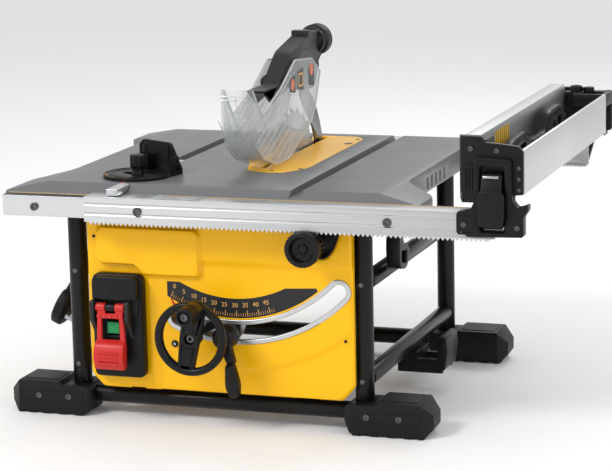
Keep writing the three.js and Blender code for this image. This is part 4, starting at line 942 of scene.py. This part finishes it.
rear_ribs = [
    prism("y", [[386, 341], [388, 343], [362, 395], [359, 395]], 553.6, 555.2, bevel=0.4),
    prism("y", [[352, 338], [354, 336], [404, 394], [401, 396]], 553.6, 555.0, bevel=0.4),
    *blocks((350, 436, 553.6, 555.4, 343, 346, 0.5), (350, 404, 553.6, 555.4, 397, 400, 0.5),
            (350, 353, 553.6, 555.4, 294, 398, 0.5)),
]
SPOKES_X, SPOKES_Z = 398, 368      # eight ribs run out from a boss to the bracket's frame
for k in range(8):
    a = radians(22.5 + 45 * k)
    reach = min(24 / abs(cos(a)), 26 / abs(sin(a)), 27)
    ends = [(SPOKES_X + r * cos(a), SPOKES_Z + r * sin(a)) for r in (7, reach)]
    rear_ribs.append(stroke("y", *ends, 1.8, 519.6, 522.4, 0.4))
rear_ribs += [
    lathe("y", (SPOKES_X, 519.2, SPOKES_Z), [[4.5, 0, 0.5], [7.5, 0, 0.5], [7.5, 3.2], [4.5, 3.2]], 32),
    prism("y", rect(374, 431, 338, 396, 2), 519.8, 522.4, [rect(376.4, 428.6, 340.4, 393.6)], bevel=0.4),
    lathe("z", (389, 531, 397.8), [[0, 0], [9, 0], [9, 9, 1.5], [5, 9, 0.8], [5, 6], [0, 6]], 36),
    lathe("z", (408, 534, 397.8), [[0, 0], [7.5, 0], [7.5, 7, 1.5], [0, 7]], 36),
]
piece("fence_rear_ribs", rear_ribs, "rails", "black_plastic")
stick_outline = [
    [24.6, 346.6, 6], [28, 361, 6], [104, 387.8, 10], [176, 389.8, 10], [206, 371.8, 12], [290, 369.8, 12],
    [322, 395.8, 12], [392, 397.8, 12], [426, 379, 10], [427.6, 353.4, 8], [380, 348.4, 10], [300, 352.2, 12],
    [200, 348.4, 12],
]
stick_inner = [
    [32, 350, 4], [36, 358, 4], [104, 383.4, 8], [174, 385, 8], [204, 367.6, 10], [292, 366, 10],
    [323, 391.6, 10], [390, 393.4, 8], [421, 377, 8], [423, 357, 6], [380, 352.6, 8], [300, 356.6, 10],
    [200, 352.6, 10],
]
stick_edges = [prism("x", stick_outline, x, x + 0.9, [stick_inner], bevel=0.3) for x in (385.2, 395.9)]
piece("push_stick_edges", stick_edges, "stick", "black_plastic")

# ---- Table: screws of the throat plate, painted shade in its finger hole and in the slits in the side ----
W = 16.0      # the blade's plane
screw_top = [[0, 0], [3.3, 0, 0.3], [3.3, 0.5, 0.3], [1.6, 0.5], [1.2, 0.1], [0, 0.1]]
bolts("throat_plate_screws", [lathe("z", (W + x, y, 329.9), screw_top, 20)
                              for x, y in ((22, 150), (58, 170), (-22, 230), (58, 440), (-16, 430))])
# Painted shade: a thin black disc where the throat plate's finger hole opens.
piece("throat_plate_hole_shade", [lathe("z", (72, 400, 329.9), [[0, 0], [6.5, 0], [6.5, 0.25], [0, 0.25]], 28)],
      "base", "black_plastic")
# Painted shade: thin black strips where the slits open in the table's side.
side_slit_shade = [box(245.6, 246.2, 210.6 + 22 * k, 218.4 + 22 * k, 300.4, 315.6, 0) for k in range(5)]
piece("table_slit_shade", side_slit_shade, "base", "black_plastic")

# ---- Housing: ribs, painted vent shade and the lead's gland on the shell ----
shell_bits = [box(-182.9, -181.9, 60, 470, z, z + 2.2, 0.5) for z in (84, 150, 262)]
shell_bits += [box(x, x + 2.4, 484.9, 486.2, 196, 286, 0.5) for x in (-172, -110, -42, 48)]
piece("shell_ribs", shell_bits, "base", "yellow_plastic")
# Painted shade: thin black strips on the shell where the vents open.
vent_shade = [box(-182.6, -181.95, 90 + 12 * k, 95 + 12 * k, 206, 248, 0.1) for k in range(14)]
vent_shade += [box(-34 + 10 * k, -29 + 10 * k, 484.95, 485.5, 214, 268, 0.1) for k in range(8)]
piece("shell_vent_shade", vent_shade, "base", "black_plastic")
gland_path = [(-186.4, 366, 118), (-192, 366, 118), (-198, 366, 118.1), (-204, 366, 118.4),
              (-210, 365.9, 119.4), (-216, 365.6, 121.4)]
piece("lead_gland", [
    lathe("x", (-186.6, 366, 118), [[0, 0], [6.2, 0, 1], [7.8, 2.6, 1], [7.8, 4.6], [0, 4.6]], 32),
    tube(gland_path, [6.6, 6.3, 5.9, 5.5, 5.0, 4.4], 20),
], "base", "rubber")

# ---- Guard: clear shield with moulded ribs, printed marks, arm, blade ----
BLADE_Y, BLADE_Z = 305, 290
side_line = rounded([
    [48.6, 447.4, 4], [52.4, 454.2, 3], [84, 451.2, 2], [117, 412.2, 2], [196, 437.2], [264, 471.2, 4],
    [338, 465.2, 6], [378, 440.6, 5], [353.5, 393.6, 5], [333.6, 373.8, 5], [310, 362.8, 4], [226, 333.8, 4],
    [171, 334.8, 6], [119, 350.8, 6], [92.4, 370.8, 6], [60.8, 404.4, 4],
])
top_edge = (84, 449), (117, 411.6), (196, 436.6), (264, 470.4), (338, 464.4), (377.4, 440.6)
low_edge = ((377.4, 440.6), (352.6, 394), (332.8, 374.4), (309.6, 363.6), (226, 334.8), (171, 336),
            (120, 351.8), (94, 371.4))


def inside(y, z, margin):
    return signed_distance([(y, z)], side_line)[0] < -margin


def strip(x, points, radius, corner=0):
    """A moulded rib along a line given in Y and Z; a corner radius rounds its bends."""
    line = [(x, y, z) for y, z in points]
    return tube(bent(line, corner) if corner else line, radius, 10 if corner else 8)


shield = []
for x in (-21.2, 21.2):
    shield += [strip(W + x, top_edge, 1.2, 5), strip(W + x, low_edge, 1.2, 6)]
    for k in range(9):
        path = []
        for t in np.linspace(0, 1, 24):
            y = 96 + 150 * t
            z = 404 - 13.5 * k + (y - 96) * 59 / 147
            if z < 411 + 0.4 * (y - 117) - 3 and inside(y, z, 2.5):
                path.append((y, z))
        if len(path) > 3:
            shield.append(strip(W + x * 1.01, path, 0.95))
    for radius in (96, 99.5):
        sweep = [(BLADE_Y + radius * cos(a), BLADE_Z + radius * sin(a)) for a in np.linspace(1.25, 2.55, 26)]
        sweep = [p for p in sweep if inside(*p, 3)]
        if len(sweep) > 3:
            shield.append(strip(W + x, sweep, 0.55))
for x in (-8, 8):
    shield.append(strip(W + x, [(50.5, 446), (58.5, 420), (71.5, 395), (96.5, 371)], 0.9))
for z, y in ((446.5, 51), (441, 51.6)):
    across = (-20.5, y + 8), (-15, y + 1.5), (0, y - 0.8), (15, y + 1.5), (20.5, y + 8)
    shield.append(tube([(W + x, at, z) for x, at in across], 1.0, 8))
for side in (-1, 1):
    shield.append(strip(W + side * 21, [(84, 450), (117, 412), (150, 376), (171, 350)], 0.9))
    shield.append(strip(W + side * 21, [(60, 412), (92, 378), (120, 359), (171, 342), (226, 341)], 0.8))
piece("shield_ribs", shield, "shield", "clear_plastic", material=RIB_HIGHLIGHT)


def both_sides(outlines, near, far, holes=()):
    """Flat marks on both sides of the shield, right side first."""
    return [prism("x", outline, *span, holes, bevel=0) for outline in outlines
            for span in ((W + near, W + far), (W - far, W - near))]


stickers = [[[y - 12, low + 4, 2], [y + 12, low, 2], [y + 12, high, 2], [y - 12, high - 4, 2]]
            for y, low, high in ((249, 424, 450), (285, 423.5, 456), (334, 423.5, 456))]
discs = [[(y + 8 * cos(a), z + 9 * sin(a)) for a in np.linspace(0, 2 * pi, 28, endpoint=False)]
         for y, z in ((249, 437), (334, 449))]
for name, shells, material in (
        ("shield_stickers", both_sides(stickers, 21.6, 22.1), SCALE),
        ("shield_sticker_discs", both_sides(discs, 22, 22.3), SIGHT),
        ("shield_sticker_frames",
         both_sides([rect(275, 295, 430, 450, 2)], 22, 22.3, [rect(278, 292, 433, 447, 2)])[::-1], INK)):
    piece(name, shells, "shield", "clear_plastic", material=material)
arm_side = [
    [150.5, 440.5, 3], [216, 440.5, 6], [272, 480.5, 10], [358, 497.5, 8], [419.5, 499.5, 4],
    [419.5, 464.5, 4], [398, 454.5, 6], [384, 424.5, 6], [372, 417.5, 2], [332, 417.5, 6], [312, 430.5, 8],
    [262, 432.5, 8], [186, 418.5, 4],
]
arm_bar = [[250, 446, 3], [300, 462, 3], [340, 474, 3], [340, 480, 3], [296, 470, 3], [250, 454, 3]]
collar = [[20.6, 0, 0.3], [23.4, 0, 0.5], [23.4, 1.2, 0.5], [20.6, 1.2, 0.3]]
arm_trim = []
for x in (-12.4, 11.9):
    arm_trim += [prism("x", arm_side, W + x, W + x + 0.5, [within(arm_side, 2.2)], bevel=0.15),
                 prism("x", arm_bar, W + x, W + x + 0.5, bevel=0.15)]
arm_trim += [lathe("y", (W, 411.5 + 3.4 * k, 482), collar, 48) for k in (1, 3, 6)]
arm_trim += [rod("x", (W - 13.2, 378, 450), 26.4, 5.0, 1.0), rod("x", (W - 13.2, 340, 428), 26.4, 3.4, 0.8)]
piece("guard_arm_trim", arm_trim, "arbor_carriage", "grey_plastic")


def around_blade(shell, count):
    return [turned(shell, (W, BLADE_Y, BLADE_Z), "x", 360 / count * k) for k in range(count)]


TIP = ((97.5, -1.6), (104.7, -0.2), (104.4, 2.6), (98, 2.2))      # offsets from the blade's centre
SLIT = ((62, -1), (84, -0.6), (84, 0.6), (62, 1))
tip, slit = [[[BLADE_Y + out, BLADE_Z + rise] for out, rise in outline] for outline in (TIP, SLIT)]
tip_shell = prism("x", tip, W - 1.5, W + 1.5, bevel=0.1, steps=1)
piece("blade_tips", around_blade(tip_shell, 24), "blade", "steel")
# Painted shade: dark steel fills the expansion slits where the blade is cut through.
bolts("blade_slot_shade", around_blade(prism("x", slit, W - 1.16, W + 1.16, bevel=0), 6), "blade")

# ---- Motor fins and mitre gauge ----
fins = [lathe("x", (W - 134 + 6 * k, 338, 264), [[38, 0], [42.6, 0, 0.6], [42.6, 2.2, 0.6], [38, 2.2]], 56)
        for k in range(8)]
fins += [lathe("x", (W - 152.3, 338, 264), rect(8 + 7 * k, 11 + 7 * k, 0, 1), 48) for k in range(3)]
piece("motor_fins", fins, "arbor_carriage", "black_plastic")
CX, CY, TOP = -129.0, 68.0, 330.0      # the protractor head's pivot on the table
HEAD_TURN = -18


def on_head(shells):
    return [turned(shell, (CX, CY, 0), "z", HEAD_TURN) for shell in shells]


def mark(angle, inner, width):
    a = radians(angle)
    ends = [(CX + r * cos(a), CY + r * sin(a)) for r in (46.6, inner)]
    return stroke("z", *ends, width, TOP + 4.2, TOP + 4.42)


marks = [mark(a, 43.5, 0.45) if a % 10 else mark(a, 41, 0.8) for a in range(-150, -25, 3)]
marks += [mark(a, 41, 0.8) for a in range(-150, -25, 15)]
piece("mitre_marks", on_head(marks), "gauge_head", "black_plastic", material=INK)
head_face = [[CX - 30, TOP + 0.4, 1], [CX + 44, TOP + 0.4, 1], [CX + 44, TOP + 8, 2], [CX + 26, TOP + 43, 3],
             [CX - 22, TOP + 45, 2], [CX - 30, TOP + 38, 3]]
head_trim = [
    prism("z", circle(CX, CY, outer, 60), TOP + 4.2, TOP + top, [circle(CX, CY, inner, 60)], bevel=0.2)
    for outer, inner, top in ((47.4, 46.8, 5.0), (38.5, 37.2, 4.9))
]
head_trim += [prism("y", head_face, CY + 39.3, CY + 40.2, [within(head_face, 2.4)], bevel=0.3)]
head_trim += [box(CX + x, CX + x + 2.4, CY + 24, CY + 40.4, TOP + 5, TOP + 26, 0.6) for x in (-26, -6, 38)]
piece("mitre_head_trim", on_head(head_trim), "gauge_head", "black_plastic")
pointer = [[CX - 3, 14], [CX + 1, 22], [CX - 7, 22]]
piece("mitre_pointer", [prism("z", pointer, TOP + 0.02, TOP + 0.3, bevel=0)], "gauge_bar", "red_plastic")
KNOB_AT = (CX + 4, CY - 10, TOP + 4.6)
lobes = []
for k in range(64):
    a = 2 * pi * k / 64
    r = 10.2 + 0.8 * cos(8 * a)
    lobes.append((KNOB_AT[0] + r * cos(a), KNOB_AT[1] + r * sin(a)))
piece("mitre_grip", [
    prism("z", lobes, KNOB_AT[2] + 10, KNOB_AT[2] + 27.8, bevel=2.2, steps=4),
    lathe("z", KNOB_AT, [[0, 0], [8.8, 0, 0.8], [7.4, 6, 2], [8.6, 12], [0, 12]], 40),
], "gauge_knob", "black_plastic", "miter_knob")

# ---- CAD nodes whose shape is right: eased edges and a finish ----
EASE = {
    **{f"{end}_{side}_foot": 1.8 for end in ("front", "rear") for side in ("left", "right")},
    "table": 1.0, "fence_beam": 0.35, "push_stick": 2.0, "storage_bracket": 1.6, "throat_plate": 0.3,
    "fence_front_bracket": 1.2, "fence_rear_bracket": 1.2, "rear_fence_latch": 1.0, "miter_head": 0.7,
    "guard_arm": 0.8, "saw_blade": 0.12,
}
OWN_FINISH = {"fence_beam": BRUSHED_Y, "narrow_fence_plate": BRUSHED_Y, "riving_knife": DARK_STEEL}
for name in frame["nodes"]:
    if name not in REPLACED:
        carry(name, EASE.get(name, 0.5), OWN_FINISH.get(name))
